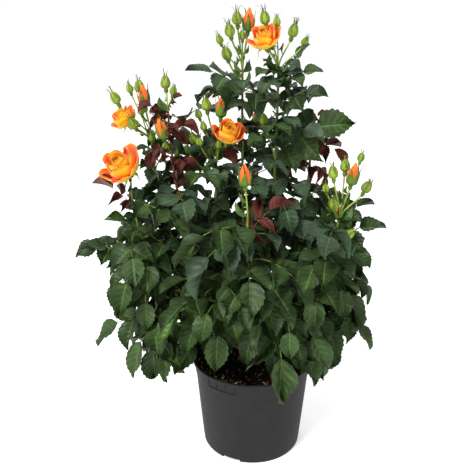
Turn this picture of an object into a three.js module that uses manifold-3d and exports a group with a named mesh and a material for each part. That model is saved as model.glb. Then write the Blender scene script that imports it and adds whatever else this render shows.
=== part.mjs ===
// A container-grown rose bush: a nursery pot filled with peat soil, the woody crown that stands in it, and
// the canes that rise from the crown, each with one leafy shoot of compound leaves, buds and blooms.
// Millimetres, +Z up. The origin is the middle of the pot's flat underside, and the bush faces -Y.

import * as THREE from 'three';
import Module from 'manifold-3d';

const wasm = await Module();
wasm.setup();

// ---------------------------------------------------------------- driving sizes

const CLEARANCE = 0.3; // gap between neighbouring pieces

const pot = {
  height: 183,
  footRadius: 94,
  bodyRadius: 108, // just under the flared collar
  lipRadius: 115,
  collarHeight: 30,
  lipHeight: 6,
  wall: 2.4,
  floor: 3,
  footChamfer: 3,
  segments: 28,
  notches: 3,
  notchBearing: 246, // degrees from +X, so that one notch shows at the front left
  notchWidth: 36,
  notchDepth: 16,
  notchHeight: 6,
};

// The soil's surface lies this far under the lip, and rises by the dome's height to the middle.
const soil = { drop: 16, dome: 5, segments: 20 };

const crown = { height: 38, flareRadius: 30, neckRadius: 19, knuckleRadius: 24, segments: 10 };

const boughSides = 4;
const boughSteps = 4;
const stemSteps = 5;
const twigSides = 3;

// A leaf: a bare stalk, then a pair of small leaflets, a pair of larger ones and the end leaflet.
const leaf = {
  count: 5,
  stalk: 28,
  pairSpacing: 32,
  endLeaflet: 66,
  pairShares: [0.78, 0.92], // each pair's length against the end leaflet
  pairAngles: [74, 58], // degrees away from the rib that carries them
  widest: 0.42, // share of the length where the blade is widest
  widthShare: 0.76,
  thicknessShare: 0.024,
  foldShare: 0.08, // how far the sides lift above the rib
  sag: 0.3, // how far the paired leaflets hang below their rib
  bendShare: 0.4, // where the rib bends, in pair spacings past the bare stalk
  endShare: 1.6, // pair spacings from the bend to the end leaflet
  endDroop: 1.5, // the end leaflet hangs this much more than the rib before it
  ribRadius: 1.3,
  fewest: 3, // a leaf with room for fewer leaflets isn't grown
  pitch: [5, 40], // degrees above level at the stem, least and most
  droop: [45, 85], // degrees that it bends down, least and most
  topPitch: 4, // what the top of the bush adds to the pitch
  topDroop: -36, // and to the droop, so that the upper leaves lie flatter
  youngSize: 0.82, // a leaf that finds no room is tried again at this size
  spread: 30, // degrees that the turn of a leaf wanders
  roll: 0.8, // radians that it rolls about its rib, at most
  outward: [0.8, 0.25], // how strongly it turns away from the middle, low down and at the top
  growth: [0.88, 1.08], // least and most size at one height
  lowSize: 1.12, // leaves are this much larger low on the bush, and smaller at its top
  topSize: 1,
  lowHeight: 300,
  topHeight: 580,
};

// How far the leaves reach to each side at rising heights. The reach to the front and back is a share of
// their mean.
const crownOutline = [
  { height: 185, left: 200, right: 150 },
  { height: 250, left: 252, right: 200 },
  { height: 400, left: 276, right: 214 },
  { height: 480, left: 245, right: 214 },
  { height: 560, left: 215, right: 160 },
  { height: 640, left: 165, right: 150 },
  { height: 700, left: 120, right: 130 },
  { height: 800, left: 90, right: 100 },
];
const crownDepthShare = 0.9;
const crownSquareness = 3; // 2 would make the outline seen from above an ellipse

// The leaves leave the soil in view at the front: nothing hangs lower than this within the spread of that
// bearing.
const soilView = { bearing: 257, spread: 27, height: 236 };
const potClear = 5; // leaves stay this far from the pot's lip

const colours = {
  pot: '#4a494b',
  soil: '#1d1713',
  wood: '#5c5a34',
  foliage: '#2f4428',
};

const GOLDEN_ANGLE = 137.5;
const GOLDEN_SHARE = 0.618;
const leafPlaces = 34; // places tried on each shoot
const leafTurns = 10; // ways that a leaf is turned at a place before it stays bare
const turnStep = 100; // degrees
const sampleStep = 8; // spacing of the points that stand for a leaf
const sampleColumns = 6;
const neighbourGap = 7; // least distance between those points and another shoot's
const ownGap = 5;
const spaceSlack = 70; // how far a shoot's leaves may reach past the middle between two stems
const rise = { reach: 24, steep: 1.3, lean: 0.5, full: 150, least: 0.25 }; // how a cane leaves the crown
const UP = new THREE.Vector3(0, 0, 1);

// ---------------------------------------------------------------- the canes
// foot: bearing on the crown in degrees from +X. tier: how high on the crown it is
// rooted, 0 on top, 1 below it and 2 for the low canes round the side.
// tip: end of the leafy stem. shoulder: shares of the way out and up where the cane turns. neck: share of
// the cane's length where the bare bough ends and the leafy shoot begins. leaves: the most that it carries.
// flowers: kind, centre and, for a bloom, the way it faces. from: share of the stem where its stalk forks.
// sprays: leaves that give the bush its outline. from: share of the cane. tip: where the end leaflet's tip
// comes to.
// droop, roll: degrees. A roll tips the leaf's face sideways, to the right of the way that it grows.

const bloom = (at, facing, radius, from = 1) => ({ kind: 'bloom', at, facing, radius, from });
const opening = (at, from = 1) => ({ kind: 'opening', at, from });
const bud = (at, from = 1) => ({ kind: 'bud', at, from });
const spray = (from, tip, droop, roll = 0) => ({ from, tip, droop, roll });

const canes = [
  {
    name: 'top_right', foot: 14, tier: 0, tip: [38, 0, 722], shoulder: [1.1, 0.5], neck: 0.36, leaves: 8,
    flowers: [
      bloom([14, -12, 775], [-0.25, -0.45, 0.85], 27), bud([62, 0, 787]), bud([14, 16, 806]),
      bud([14, 4, 640], 0.66),
    ],
    sprays: [
      spray(0.92, [121, -20, 683], 30, 40), spray(0.97, [112, -6, 722], 18, 30),
      spray(0.86, [66, -66, 640], 60), spray(0.8, [170, -24, 638], 32, 55),
      spray(0.98, [8, -56, 688], 36),
    ],
  },
  {
    name: 'top_left', foot: 124, tier: 1, tip: [-22, 30, 714], shoulder: [1.1, 0.5], neck: 0.36, leaves: 7,
    flowers: [opening([-12, 16, 800]), bud([-31, 2, 806]), bud([-43, -12, 788]), bud([-48, -18, 752], 0.92)],
    sprays: [spray(0.96, [-117, 0, 723], 25, -35), spray(0.9, [-50, -60, 662], 60, -20)],
  },
  {
    name: 'left_upper', foot: 164, tier: 0, tip: [-178, 12, 590], shoulder: [1.0, 0.4],
    neck: 0.4, leaves: 4,
    flowers: [
      bloom([-226, 0, 640], [-0.55, -0.35, 0.75], 25), opening([-190, 10, 675]), bud([-240, 4, 675]),
      bud([-200, 26, 692]), bud([-207, -22, 637]),
    ],
    sprays: [spray(0.84, [-184, -46, 530], 50, 30)],
  },
  {
    name: 'left_mid', foot: 186, tier: 1, tip: [-146, -16, 655], shoulder: [0.95, 0.35],
    neck: 0.4, leaves: 5,
    flowers: [bud([-151, 0, 703]), opening([-154, -50, 632], 0.84)],
    sprays: [
      spray(0.97, [-208, -20, 640], 55, -40), spray(0.94, [-92, -36, 628], 55, 40),
      spray(0.86, [-92, -40, 566], 55, 40),
    ],
  },
  {
    name: 'left_bloom', foot: 228, tier: 1, tip: [-208, -56, 528], shoulder: [0.95, 0.35],
    neck: 0.38, leaves: 5,
    flowers: [bloom([-222, -64, 574], [-0.45, -0.5, 0.74], 36)],
    sprays: [spray(0.95, [-268, -62, 548], 15, -30), spray(0.82, [-250, -76, 486], 35, -30)],
  },
  {
    name: 'centre', foot: 206, tier: 0, tip: [-66, 6, 572], shoulder: [1.2, 0.4], neck: 0.38, leaves: 4,
    flowers: [
      bloom([-42, -22, 621], [0.1, -0.45, 0.9], 27), opening([-58, 26, 655]), bud([-84, 12, 664]),
      bud([-107, 0, 607], 0.94),
    ],
  },
  {
    name: 'front', foot: 260, tier: 0, tip: [-10, -104, 500], shoulder: [1.0, 0.4], neck: 0.34, leaves: 6,
    flowers: [opening([-15, -110, 570])],
    sprays: [spray(0.93, [60, -112, 532], 20, 50)],
  },
  {
    name: 'right', foot: 316, tier: 0, tip: [144, -66, 482], shoulder: [0.9, 0.6], neck: 0.36, leaves: 5,
    flowers: [
      opening([164, -62, 560]), bud([130, -62, 566]), bud([152, -48, 574]), bud([189, -62, 541]),
      bud([130, -86, 520], 0.94), bud([163, -80, 463], 0.84),
    ],
    sprays: [spray(0.84, [226, -60, 470], 35, 45), spray(0.8, [200, -90, 405], 50, 30)],
  },
  {
    name: 'right_inner', foot: 344, tier: 1, tip: [98, 16, 622], shoulder: [1.05, 0.4],
    neck: 0.36, leaves: 4,
    sprays: [spray(0.95, [158, -10, 560], 60, 40), spray(0.88, [34, -38, 570], 60, -30)],
  },
  {
    name: 'back_right', foot: 46, tier: 1, tip: [134, 124, 392], shoulder: [1.0, 0.4],
    neck: 0.36, leaves: 4,
    flowers: [bloom([146, 146, 434], [0.4, 0.5, 0.75], 34), bud([112, 140, 450])],
  },
  {
    name: 'back_centre', foot: 80, tier: 0, tip: [6, 130, 560], shoulder: [1.0, 0.4], neck: 0.36, leaves: 4,
    flowers: [opening([6, 140, 618]), bud([-18, 148, 602]), bud([30, 140, 606])],
  },
  {
    name: 'back_left', foot: 132, tier: 2, tip: [-134, 124, 394], shoulder: [1.0, 0.4],
    neck: 0.36, leaves: 4,
    flowers: [bloom([-150, 146, 436], [-0.4, 0.55, 0.73], 34), bud([-120, 146, 454])],
  },
  {
    name: 'left_side', foot: 192, tier: 2, tip: [-240, -34, 410], shoulder: [0.5, 0.7],
    neck: 0.3, leaves: 5,
    sprays: [spray(0.95, [-316, -50, 402], 45, -30)],
  },
  {
    name: 'left_low', foot: 219, tier: 2, tip: [-176, -112, 300], shoulder: [0.5, 0.9],
    neck: 0.26, leaves: 6,
    sprays: [spray(0.94, [-274, -112, 260], 55, -30), spray(0.82, [-208, -150, 218], 70)],
  },
  {
    name: 'front_low_left', foot: 246, tier: 2, tip: [-72, -112, 352], shoulder: [0.5, 0.8],
    neck: 0.26, leaves: 5,
    sprays: [spray(0.56, [-138, -130, 213], 40, -45), spray(0.7, [-62, -160, 237], 75)],
  },
  {
    name: 'front_low_right', foot: 286, tier: 2, tip: [62, -116, 352], shoulder: [0.5, 0.8],
    neck: 0.26, leaves: 5,
    sprays: [spray(0.6, [50, -158, 176], 80), spray(0.86, [130, -152, 296], 60)],
  },
  {
    name: 'right_low', foot: 328, tier: 2, tip: [150, -76, 300], shoulder: [0.5, 0.95],
    neck: 0.26, leaves: 6,
    sprays: [spray(0.92, [212, -104, 258], 50, 30), spray(0.74, [150, -136, 250], 65)],
  },
  {
    name: 'right_side', foot: 4, tier: 2, tip: [130, 14, 392], shoulder: [0.5, 0.8],
    neck: 0.28, leaves: 5,
  },
  {
    name: 'back_low_right', foot: 66, tier: 2, tip: [58, 142, 336], shoulder: [0.5, 0.8],
    neck: 0.26, leaves: 5,
  },
  {
    name: 'back_low', foot: 100, tier: 2, tip: [-38, 140, 346], shoulder: [0.5, 0.8],
    neck: 0.26, leaves: 5,
  },
  {
    name: 'back_low_left', foot: 152, tier: 2, tip: [-150, 92, 326], shoulder: [0.5, 0.8],
    neck: 0.26, leaves: 5,
  },
  {
    name: 'left_back', foot: 174, tier: 2, tip: [-204, 44, 356], shoulder: [0.5, 0.75],
    neck: 0.3, leaves: 5,
  },
];

// ---------------------------------------------------------------- materials

const materials = {
  pot: new THREE.MeshStandardMaterial({ color: colours.pot, roughness: 0.6, metalness: 0 }),
  soil: new THREE.MeshStandardMaterial({ color: colours.soil, roughness: 0.95, metalness: 0 }),
  wood: new THREE.MeshStandardMaterial({ color: colours.wood, roughness: 0.7, metalness: 0 }),
  foliage: new THREE.MeshStandardMaterial({ color: colours.foliage, roughness: 0.55, metalness: 0 }),
};

// ---------------------------------------------------------------- small helpers

const vector = ([x, y, z]) => new THREE.Vector3(x, y, z);
const radians = THREE.MathUtils.degToRad;
const lerp = THREE.MathUtils.lerp;

// Seeded numbers from 0 to 1, so that every build grows the same bush.
function seeded(seed) {
  let state = seed >>> 0;
  return () => {
    state = (state + 0x6d2b79f5) >>> 0;
    let mixed = Math.imul(state ^ (state >>> 15), state | 1);
    mixed ^= mixed + Math.imul(mixed ^ (mixed >>> 7), mixed | 61);
    return ((mixed ^ (mixed >>> 14)) >>> 0) / 4294967296;
  };
}

function geometryOf(points, triangles) {
  const geometry = new THREE.BufferGeometry();
  const flat = points.flatMap((p) => [p.x, p.y, p.z]);
  geometry.setAttribute('position', new THREE.Float32BufferAttribute(flat, 3));
  geometry.setIndex(triangles.flat());
  return geometry;
}

function solidOf(geometry) {
  const bare = new THREE.BufferGeometry();
  bare.setAttribute('position', geometry.getAttribute('position'));
  bare.setIndex(geometry.index);
  const merged = mergeByPlace(bare);
  return new wasm.Manifold(new wasm.Mesh({
    numProp: 3,
    vertProperties: merged.getAttribute('position').array,
    triVerts: new Uint32Array(merged.index.array),
  }));
}

// Shared corners become one vertex, and triangles that collapse are dropped.
function mergeByPlace(geometry) {
  const position = geometry.getAttribute('position');
  const found = new Map();
  const points = [];
  const place = [];
  for (let i = 0; i < position.count; i++) {
    const point = new THREE.Vector3().fromBufferAttribute(position, i);
    const key = point.toArray().map((n) => Math.round(n * 1e4)).join();
    if (!found.has(key)) {
      found.set(key, points.length);
      points.push(point);
    }
    place.push(found.get(key));
  }
  const corners = geometry.index ? [...geometry.index.array] : place.map((_, i) => i);
  const triangles = [];
  for (let i = 0; i < corners.length; i += 3) {
    const [a, b, c] = corners.slice(i, i + 3).map((corner) => place[corner]);
    if (a !== b && b !== c && a !== c) triangles.push([a, b, c]);
  }
  return geometryOf(points, triangles);
}

function meshOf(name, solid, material) {
  const { vertProperties, triVerts, numProp } = solid.getMesh();
  const geometry = new THREE.BufferGeometry();
  const corners = [];
  for (let i = 0; i < vertProperties.length; i += numProp) {
    corners.push(...vertProperties.subarray(i, i + 3));
  }
  geometry.setAttribute('position', new THREE.Float32BufferAttribute(corners, 3));
  geometry.setIndex([...triVerts]);
  geometry.computeVertexNormals();
  const mesh = new THREE.Mesh(geometry, material);
  mesh.name = name;
  return mesh;
}

const joined = (solids) => solids.reduce((whole, piece) => whole.add(piece));

// A turned solid from [radius, height] pairs that run from the axis, round the outside and back to it.
function turned(profile, segments) {
  const points = profile.map(([radius, height]) => new THREE.Vector2(radius, height));
  return solidOf(new THREE.LatheGeometry(points, segments).rotateX(Math.PI / 2));
}

// A tapering limb along a curve, with flat ends.
function limb(curve, startRadius, endRadius, sides, steps) {
  const frames = curve.computeFrenetFrames(steps, false);
  const points = [];
  const triangles = [];
  for (let i = 0; i <= steps; i++) {
    const centre = curve.getPoint(i / steps);
    const radius = lerp(startRadius, endRadius, i / steps);
    for (let j = 0; j < sides; j++) {
      const angle = (j / sides) * Math.PI * 2;
      points.push(centre.clone()
        .addScaledVector(frames.normals[i], radius * Math.cos(angle))
        .addScaledVector(frames.binormals[i], radius * Math.sin(angle)));
    }
  }
  const corner = (i, j) => i * sides + (j % sides);
  for (let i = 0; i < steps; i++) {
    for (let j = 0; j < sides; j++) {
      triangles.push([corner(i, j), corner(i, j + 1), corner(i + 1, j)]);
      triangles.push([corner(i, j + 1), corner(i + 1, j + 1), corner(i + 1, j)]);
    }
  }
  for (let j = 1; j < sides - 1; j++) {
    triangles.push([corner(0, 0), corner(0, j + 1), corner(0, j)]);
    triangles.push([corner(steps, 0), corner(steps, j), corner(steps, j + 1)]);
  }
  return solidOf(geometryOf(points, triangles));
}

// ---------------------------------------------------------------- pot, soil and crown

const soilLevel = pot.height - soil.drop;

function potSolid() {
  const collar = pot.height - pot.collarHeight;
  const lipUnder = pot.height - pot.lipHeight;
  const lipInner = pot.lipRadius - pot.wall - 1;
  const outside = [
    [0, 0],
    [pot.footRadius - pot.footChamfer, 0],
    [pot.footRadius, pot.footChamfer],
    [pot.bodyRadius, collar],
    [pot.lipRadius - 3, lipUnder],
    [pot.lipRadius, lipUnder + 1],
    [pot.lipRadius, pot.height - 1],
    [pot.lipRadius - 1, pot.height],
  ];
  const inside = [
    [lipInner, pot.height],
    [pot.lipRadius - 3 - pot.wall, lipUnder],
    [pot.bodyRadius - pot.wall, collar],
    [pot.footRadius - pot.wall, pot.floor],
    [0, pot.floor],
  ];
  const body = turned([...outside, ...inside], pot.segments);
  const notches = Array.from({ length: pot.notches }, (_, i) => {
    const box = new THREE.BoxGeometry(pot.notchDepth, pot.notchWidth, pot.notchHeight * 2);
    box.translate(pot.footRadius - pot.notchDepth / 2 + 2, 0, 0);
    box.rotateZ(radians(pot.notchBearing + (i * 360) / pot.notches));
    return solidOf(box);
  });
  return body.subtract(joined(notches));
}

// The wall's inner radius at a height, on the straight stretch below the collar and on the collar.
function innerRadius(height) {
  const collar = pot.height - pot.collarHeight;
  const lipUnder = pot.height - pot.lipHeight;
  const [low, high, from, to] = height < collar
    ? [pot.floor, collar, pot.footRadius, pot.bodyRadius]
    : [collar, lipUnder, pot.bodyRadius, pot.lipRadius - 3];
  return lerp(from, to, (height - low) / (high - low)) - pot.wall;
}

function soilSolid() {
  const bottom = pot.floor + CLEARANCE;
  const collar = pot.height - pot.collarHeight;
  const fit = 1.2; // the soil's flats stay inside the pot's coarser round wall
  return turned([
    [0, bottom],
    [innerRadius(bottom) - fit, bottom],
    [innerRadius(collar) - fit, collar],
    [innerRadius(soilLevel) - fit, soilLevel],
    [crown.flareRadius + 30, soilLevel + soil.dome * 0.7],
    [crown.flareRadius + 4, soilLevel + soil.dome],
    [0, soilLevel + soil.dome],
  ], soil.segments);
}

const crownFoot = soilLevel + soil.dome + CLEARANCE;

function crownSolid(grown = 0) {
  const level = (share) => crownFoot + crown.height * share;
  return turned([
    [0, crownFoot - grown],
    [crown.flareRadius + grown, crownFoot - grown],
    [crown.neckRadius + 3 + grown, level(0.2)],
    [crown.neckRadius + grown, level(0.45)],
    [crown.knuckleRadius + grown, level(0.68)],
    [crown.neckRadius + grown, level(0.92)],
    [crown.neckRadius * 0.5 + grown, level(1) + grown],
    [0, level(1) + grown],
  ], crown.segments);
}

// ---------------------------------------------------------------- canes

const caneGirth = [
  { rootHeight: 0.93, rootRadius: 9, base: 4.0, neck: 3.2, tip: 2.0 },
  { rootHeight: 0.7, rootRadius: 11, base: 4.0, neck: 3.2, tip: 1.9 },
  { rootHeight: 0.42, rootRadius: 12, base: 3.6, neck: 2.9, tip: 1.7 },
];

// The whole run of a cane, from inside the crown to the end of its leafy stem. It leaves the crown the more
// steeply the nearer its tip stands to the middle.
function caneCurve(cane) {
  const { rootHeight, rootRadius } = caneGirth[cane.tier];
  const bearing = radians(cane.foot);
  const root = new THREE.Vector3(
    rootRadius * Math.cos(bearing),
    rootRadius * Math.sin(bearing),
    crownFoot + crown.height * rootHeight,
  );
  const tip = vector(cane.tip);
  const [out, up] = cane.shoulder;
  const turn = new THREE.Vector3(lerp(root.x, tip.x, out), lerp(root.y, tip.y, out), lerp(root.z, tip.z, up));
  const lean = THREE.MathUtils.clamp(Math.hypot(tip.x, tip.y) / rise.full, rise.least, 1);
  const start = new THREE.Vector3(Math.cos(bearing), Math.sin(bearing), 0).multiplyScalar(lean);
  start.setZ(rise.steep - lean * rise.lean);
  return new THREE.CubicBezierCurve3(root, start.multiplyScalar(rise.reach).add(root), turn, tip);
}

// A stretch of a curve between two shares of its length, as a curve of its own.
function stretch(curve, from, to) {
  const part = new THREE.Curve();
  part.getPoint = (t, target) => curve.getPoint(lerp(from, to, t), target);
  return part;
}

function boughSolid(cane, curve, grownCrown) {
  const { base, neck } = caneGirth[cane.tier];
  const whole = limb(stretch(curve, 0, cane.neck), base, neck, boughSides, boughSteps);
  return whole.subtract(grownCrown);
}

// ---------------------------------------------------------------- leaves

const ribStations = [0, leaf.stalk, leaf.stalk + leaf.pairSpacing, leaf.stalk + 2 * leaf.pairSpacing]
  .map((along) => along / (leaf.stalk + 2 * leaf.pairSpacing));

// The lengths of the rib before and after its bend, and of the end leaflet.
const ribLengths = [
  leaf.stalk + leaf.pairSpacing * leaf.bendShare, leaf.pairSpacing * leaf.endShare, leaf.endLeaflet,
];

function leaflet(root, along, across, length) {
  const rib = along.normalize();
  const side = across.addScaledVector(rib, -across.dot(rib)).normalize();
  return { root, rib, side, normal: rib.clone().cross(side), length };
}

// A point on a blade: along from its root to its tip, across from -1 at one edge to 1 at the other.
function bladePoint({ root, rib, side, normal, length }, along, across, lift = 0) {
  const spread = along < leaf.widest ? along / leaf.widest : (1 - along) / (1 - leaf.widest);
  return root.clone()
    .addScaledVector(rib, along * length)
    .addScaledVector(side, across * spread * length * leaf.widthShare * 0.5)
    .addScaledVector(normal, (Math.abs(across) * spread * leaf.foldShare + lift) * length);
}

// A direction in the upright plane of a level heading.
function slope(heading, angle) {
  return heading.clone().multiplyScalar(Math.cos(angle)).addScaledVector(UP, Math.sin(angle));
}

// A compound leaf from its root on the stem: heading is level, pitch and droop are in radians.
function compoundLeaf(root, heading, pitch, droop, roll, size) {
  const late = slope(heading, pitch - droop);
  const side = heading.clone().cross(UP).negate().applyAxisAngle(late, roll);
  const bend = root.clone().addScaledVector(slope(heading, pitch), ribLengths[0] * size);
  const end = bend.clone().addScaledVector(late, ribLengths[1] * size);
  const rib = new THREE.QuadraticBezierCurve3(root, bend, end);
  const leaflets = leaf.pairShares.flatMap((share, pair) => [1, -1].map((hand) => {
    const angle = radians(leaf.pairAngles[pair]);
    const along = late.clone().multiplyScalar(Math.cos(angle))
      .addScaledVector(side, hand * Math.sin(angle))
      .addScaledVector(UP, -leaf.sag);
    const place = rib.getPoint(ribStations[pair + 1]);
    return leaflet(place, along, late.clone().multiplyScalar(-hand), leaf.endLeaflet * size * share);
  }));
  const last = slope(heading, pitch - droop * leaf.endDroop);
  leaflets.push(leaflet(end.clone(), last, side.clone(), leaf.endLeaflet * size));
  return { rib, side, leaflets, size };
}

// A compound leaf of a given droop whose end leaflet's tip comes to a given point.
function leafTo(root, tip, droop, roll) {
  const level = new THREE.Vector3(tip.x - root.x, tip.y - root.y, 0);
  const away = new THREE.Vector2(level.length(), tip.z - root.z);
  const run = [0, droop, droop * leaf.endDroop].reduce((sum, angle, i) => (
    sum.add(new THREE.Vector2(Math.cos(angle), -Math.sin(angle)).multiplyScalar(ribLengths[i]))
  ), new THREE.Vector2());
  const pitch = Math.atan2(away.y, away.x) - Math.atan2(run.y, run.x);
  return compoundLeaf(root, level.normalize(), pitch, droop, roll, away.length() / run.length());
}

const cosThird = Math.cos(Math.PI / 3);
const sinThird = Math.sin(Math.PI / 3);
const ribGape = 1.3; // half the length of rib that a leaflet opens from, in rib radii

// One closed skin over a leaf: a three-sided rib whose sides open into the leaflets that it carries.
function leafSolid({ rib, side, leaflets, size }) {
  const radius = leaf.ribRadius * Math.sqrt(size);
  const points = [];
  const triangles = [];
  const add = (point) => points.push(point) - 1;
  const quad = (a, b, c, d) => triangles.push([a, b, c], [a, c, d]);
  const open = (top, a, b, blade) => {
    if (!blade) return triangles.push([top, a, b]);
    const right = add(bladePoint(blade, leaf.widest, -1));
    const tip = add(bladePoint(blade, 1, 0));
    const left = add(bladePoint(blade, leaf.widest, 1));
    const keel = add(bladePoint(blade, leaf.widest, 0, -leaf.thicknessShare));
    triangles.push([top, right, tip], [top, tip, left], [top, left, b], [top, a, right]);
    return triangles.push(
      [keel, tip, right], [keel, left, tip], [keel, b, left], [keel, right, a], [keel, a, b],
    );
  };
  const stations = ribStations.map((share, i) => {
    const centre = rib.getPoint(share);
    const ahead = rib.getTangent(share);
    const up = ahead.clone().cross(side).normalize();
    const out = up.clone().cross(ahead);
    const corner = (rise, over, forward) => add(centre.clone()
      .addScaledVector(up, rise * radius)
      .addScaledVector(out, over * radius)
      .addScaledVector(ahead, forward * radius));
    const top = corner(1, 0, 0);
    const inner = i > 0 && i < ribStations.length - 1;
    const foot = (forward) => [1, -1].map((hand) => corner(-cosThird, sinThird * hand, forward));
    const back = foot(inner ? -ribGape : 0);
    const front = inner ? foot(ribGape) : back;
    return { top, back, front };
  });
  stations.forEach(({ top, back, front }, i) => {
    const next = stations[i + 1];
    if (!next) return open(top, front[1], front[0], leaflets.at(-1));
    quad(top, next.top, next.back[0], front[0]);
    quad(top, front[1], next.back[1], next.top);
    quad(front[0], next.back[0], next.back[1], front[1]);
    if (i === 0) return triangles.push([top, back[0], back[1]]);
    quad(back[0], front[0], front[1], back[1]);
    open(top, front[0], back[0], leaflets[2 * i - 2]);
    return open(top, back[1], front[1], leaflets[2 * i - 1]);
  });
  return solidOf(geometryOf(points, triangles));
}

// Points spread over a leaflet closely enough that nothing crosses it between them.
function bladePoints(blade) {
  const rows = Math.ceil(blade.length / sampleStep);
  return Array.from({ length: rows + 1 }, (_, row) => (
    Array.from({ length: sampleColumns + 1 }, (_, column) => (
      bladePoint(blade, row / rows, (2 * column) / sampleColumns - 1)
    ))
  )).flat();
}

// ---------------------------------------------------------------- flowers

// [share of the radius, share of the height] up a closed bud and a bud that shows its petals.
const budShapes = {
  bud: { radius: 7, height: 26, profile: [[0, 0], [0.6, 0.1], [1, 0.5], [0, 1]] },
  opening: { radius: 9.5, height: 38, profile: [[0, 0], [0.6, 0.1], [1, 0.5], [0.75, 0.85], [0, 1]] },
};
const budSegments = 4;

// A bloom is one turned body whose rings rise and fall like petals: share of the radius, share of the radius
// up the axis, how far the ring swings in and out between petals, and its petals' turn in half petals.
const petalCount = 5;
const bloomRings = [
  { radius: 0.16, height: -0.04, swing: 0, turn: 0 },
  { radius: 0.72, height: 0.26, swing: 0.06, turn: 0 },
  { radius: 1.0, height: 0.62, swing: 0.14, turn: 0 },
  { radius: 0.7, height: 0.5, swing: 0, turn: 0 },
  { radius: 0.62, height: 0.92, swing: 0.1, turn: 1 },
  { radius: 0.4, height: 0.66, swing: 0, turn: 1 },
  { radius: 0.3, height: 1.04, swing: 0.06, turn: 0 },
];
const hip = { radius: 5, height: 9 };

function flowerAxis(flower, fork) {
  if (flower.facing) return vector(flower.facing).normalize();
  return vector(flower.at).sub(fork).normalize().add(new THREE.Vector3(0, 0, 0.4)).normalize();
}

// Where the flower's own base is, at the end of its stalk.
function flowerBase(flower, fork) {
  const back = flower.kind === 'bloom' ? flower.radius * 0.62 : budShapes[flower.kind].height * 0.5;
  return vector(flower.at).addScaledVector(flowerAxis(flower, fork), -back);
}

function placed(solid, base, axis) {
  const facing = new THREE.Quaternion().setFromUnitVectors(UP, axis);
  const turn = new THREE.Matrix4().makeRotationFromQuaternion(facing);
  return solid.transform(turn.setPosition(base).toArray());
}

function bloomSolid(flower, fork) {
  const reach = flower.radius;
  const around = petalCount * 2;
  const points = [new THREE.Vector3(0, 0, -hip.height)];
  const rings = bloomRings;
  for (const { radius, height, swing, turn } of rings) {
    for (let j = 0; j < around; j++) {
      const wave = swing * Math.cos(Math.PI * (j + turn));
      const angle = (j / around) * Math.PI * 2;
      const out = (radius + wave) * reach;
      const up = (height + wave * 0.6) * reach;
      points.push(new THREE.Vector3(out * Math.cos(angle), out * Math.sin(angle), up));
    }
  }
  points.push(new THREE.Vector3(0, 0, reach * 0.86));
  const last = points.length - 1;
  const corner = (ring, j) => 1 + ring * around + (j % around);
  const triangles = [];
  for (let j = 0; j < around; j++) {
    triangles.push([0, corner(0, j + 1), corner(0, j)]);
    triangles.push([last, corner(rings.length - 1, j), corner(rings.length - 1, j + 1)]);
    for (let ring = 0; ring < rings.length - 1; ring++) {
      triangles.push([corner(ring, j), corner(ring, j + 1), corner(ring + 1, j)]);
      triangles.push([corner(ring, j + 1), corner(ring + 1, j + 1), corner(ring + 1, j)]);
    }
  }
  return placed(solidOf(geometryOf(points, triangles)), flowerBase(flower, fork), flowerAxis(flower, fork));
}

function budSolid(flower, fork) {
  const { radius, height, profile } = budShapes[flower.kind];
  const solid = turned(profile.map(([r, h]) => [r * radius, h * height]), budSegments);
  return placed(solid, flowerBase(flower, fork), flowerAxis(flower, fork));
}

function stalkCurve(flower, fork, heading) {
  const base = flowerBase(flower, fork);
  const axis = flowerAxis(flower, fork);
  const span = base.distanceTo(fork) * 0.35;
  return new THREE.CubicBezierCurve3(
    fork.clone().addScaledVector(heading, -3),
    fork.clone().addScaledVector(heading, span),
    base.clone().addScaledVector(axis, -span),
    base.clone().addScaledVector(axis, 2),
  );
}

// ---------------------------------------------------------------- shoots

// What each shoot holds, as points in cells, so that the next leaf can be kept clear of it.
class HeldSpace {
  constructor(cell) {
    this.cell = cell;
    this.cells = new Map();
  }

  key(x, y, z) {
    return (x + 512) * 1048576 + (y + 512) * 1024 + z + 512;
  }

  place(point) {
    return point.toArray().map((n) => Math.floor(n / this.cell));
  }

  add(points, owner) {
    for (const point of points) {
      const key = this.key(...this.place(point));
      if (!this.cells.has(key)) this.cells.set(key, []);
      this.cells.get(key).push({ point, owner });
    }
  }

  // Whether a point lies nearer than the gap that its neighbour's owner calls for. The gap is under a cell.
  crowded(point, gapTo) {
    const [x, y, z] = this.place(point);
    for (let i = x - 1; i <= x + 1; i++) {
      for (let j = y - 1; j <= y + 1; j++) {
        for (let k = z - 1; k <= z + 1; k++) {
          const near = this.cells.get(this.key(i, j, k)) ?? [];
          if (near.some((held) => held.point.distanceTo(point) < gapTo(held.owner))) return true;
        }
      }
    }
    return false;
  }
}

function pointsAlong(curve, step) {
  const steps = Math.ceil(curve.getPoint(0).distanceTo(curve.getPoint(1)) / step) + 1;
  return Array.from({ length: steps + 1 }, (_, i) => curve.getPoint(i / steps));
}

// Points over the outside of a flower, as a ball of its size.
function flowerPoints(flower) {
  const radius = flower.kind === 'bloom' ? flower.radius : 12;
  const ball = new THREE.SphereGeometry(radius, 16, 10).getAttribute('position');
  const centre = vector(flower.at);
  const place = (_, i) => new THREE.Vector3().fromBufferAttribute(ball, i).add(centre);
  return Array.from({ length: ball.count }, place);
}

// Whether a point lies above the soil and clear of the pot.
function clearOfPot(point) {
  const radius = Math.hypot(point.x, point.y);
  const overSoil = radius < pot.lipRadius - 2 * potClear && point.z > soilLevel + soil.dome + potClear;
  return overSoil || point.z > pot.height + potClear || radius > pot.lipRadius + potClear;
}

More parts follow.
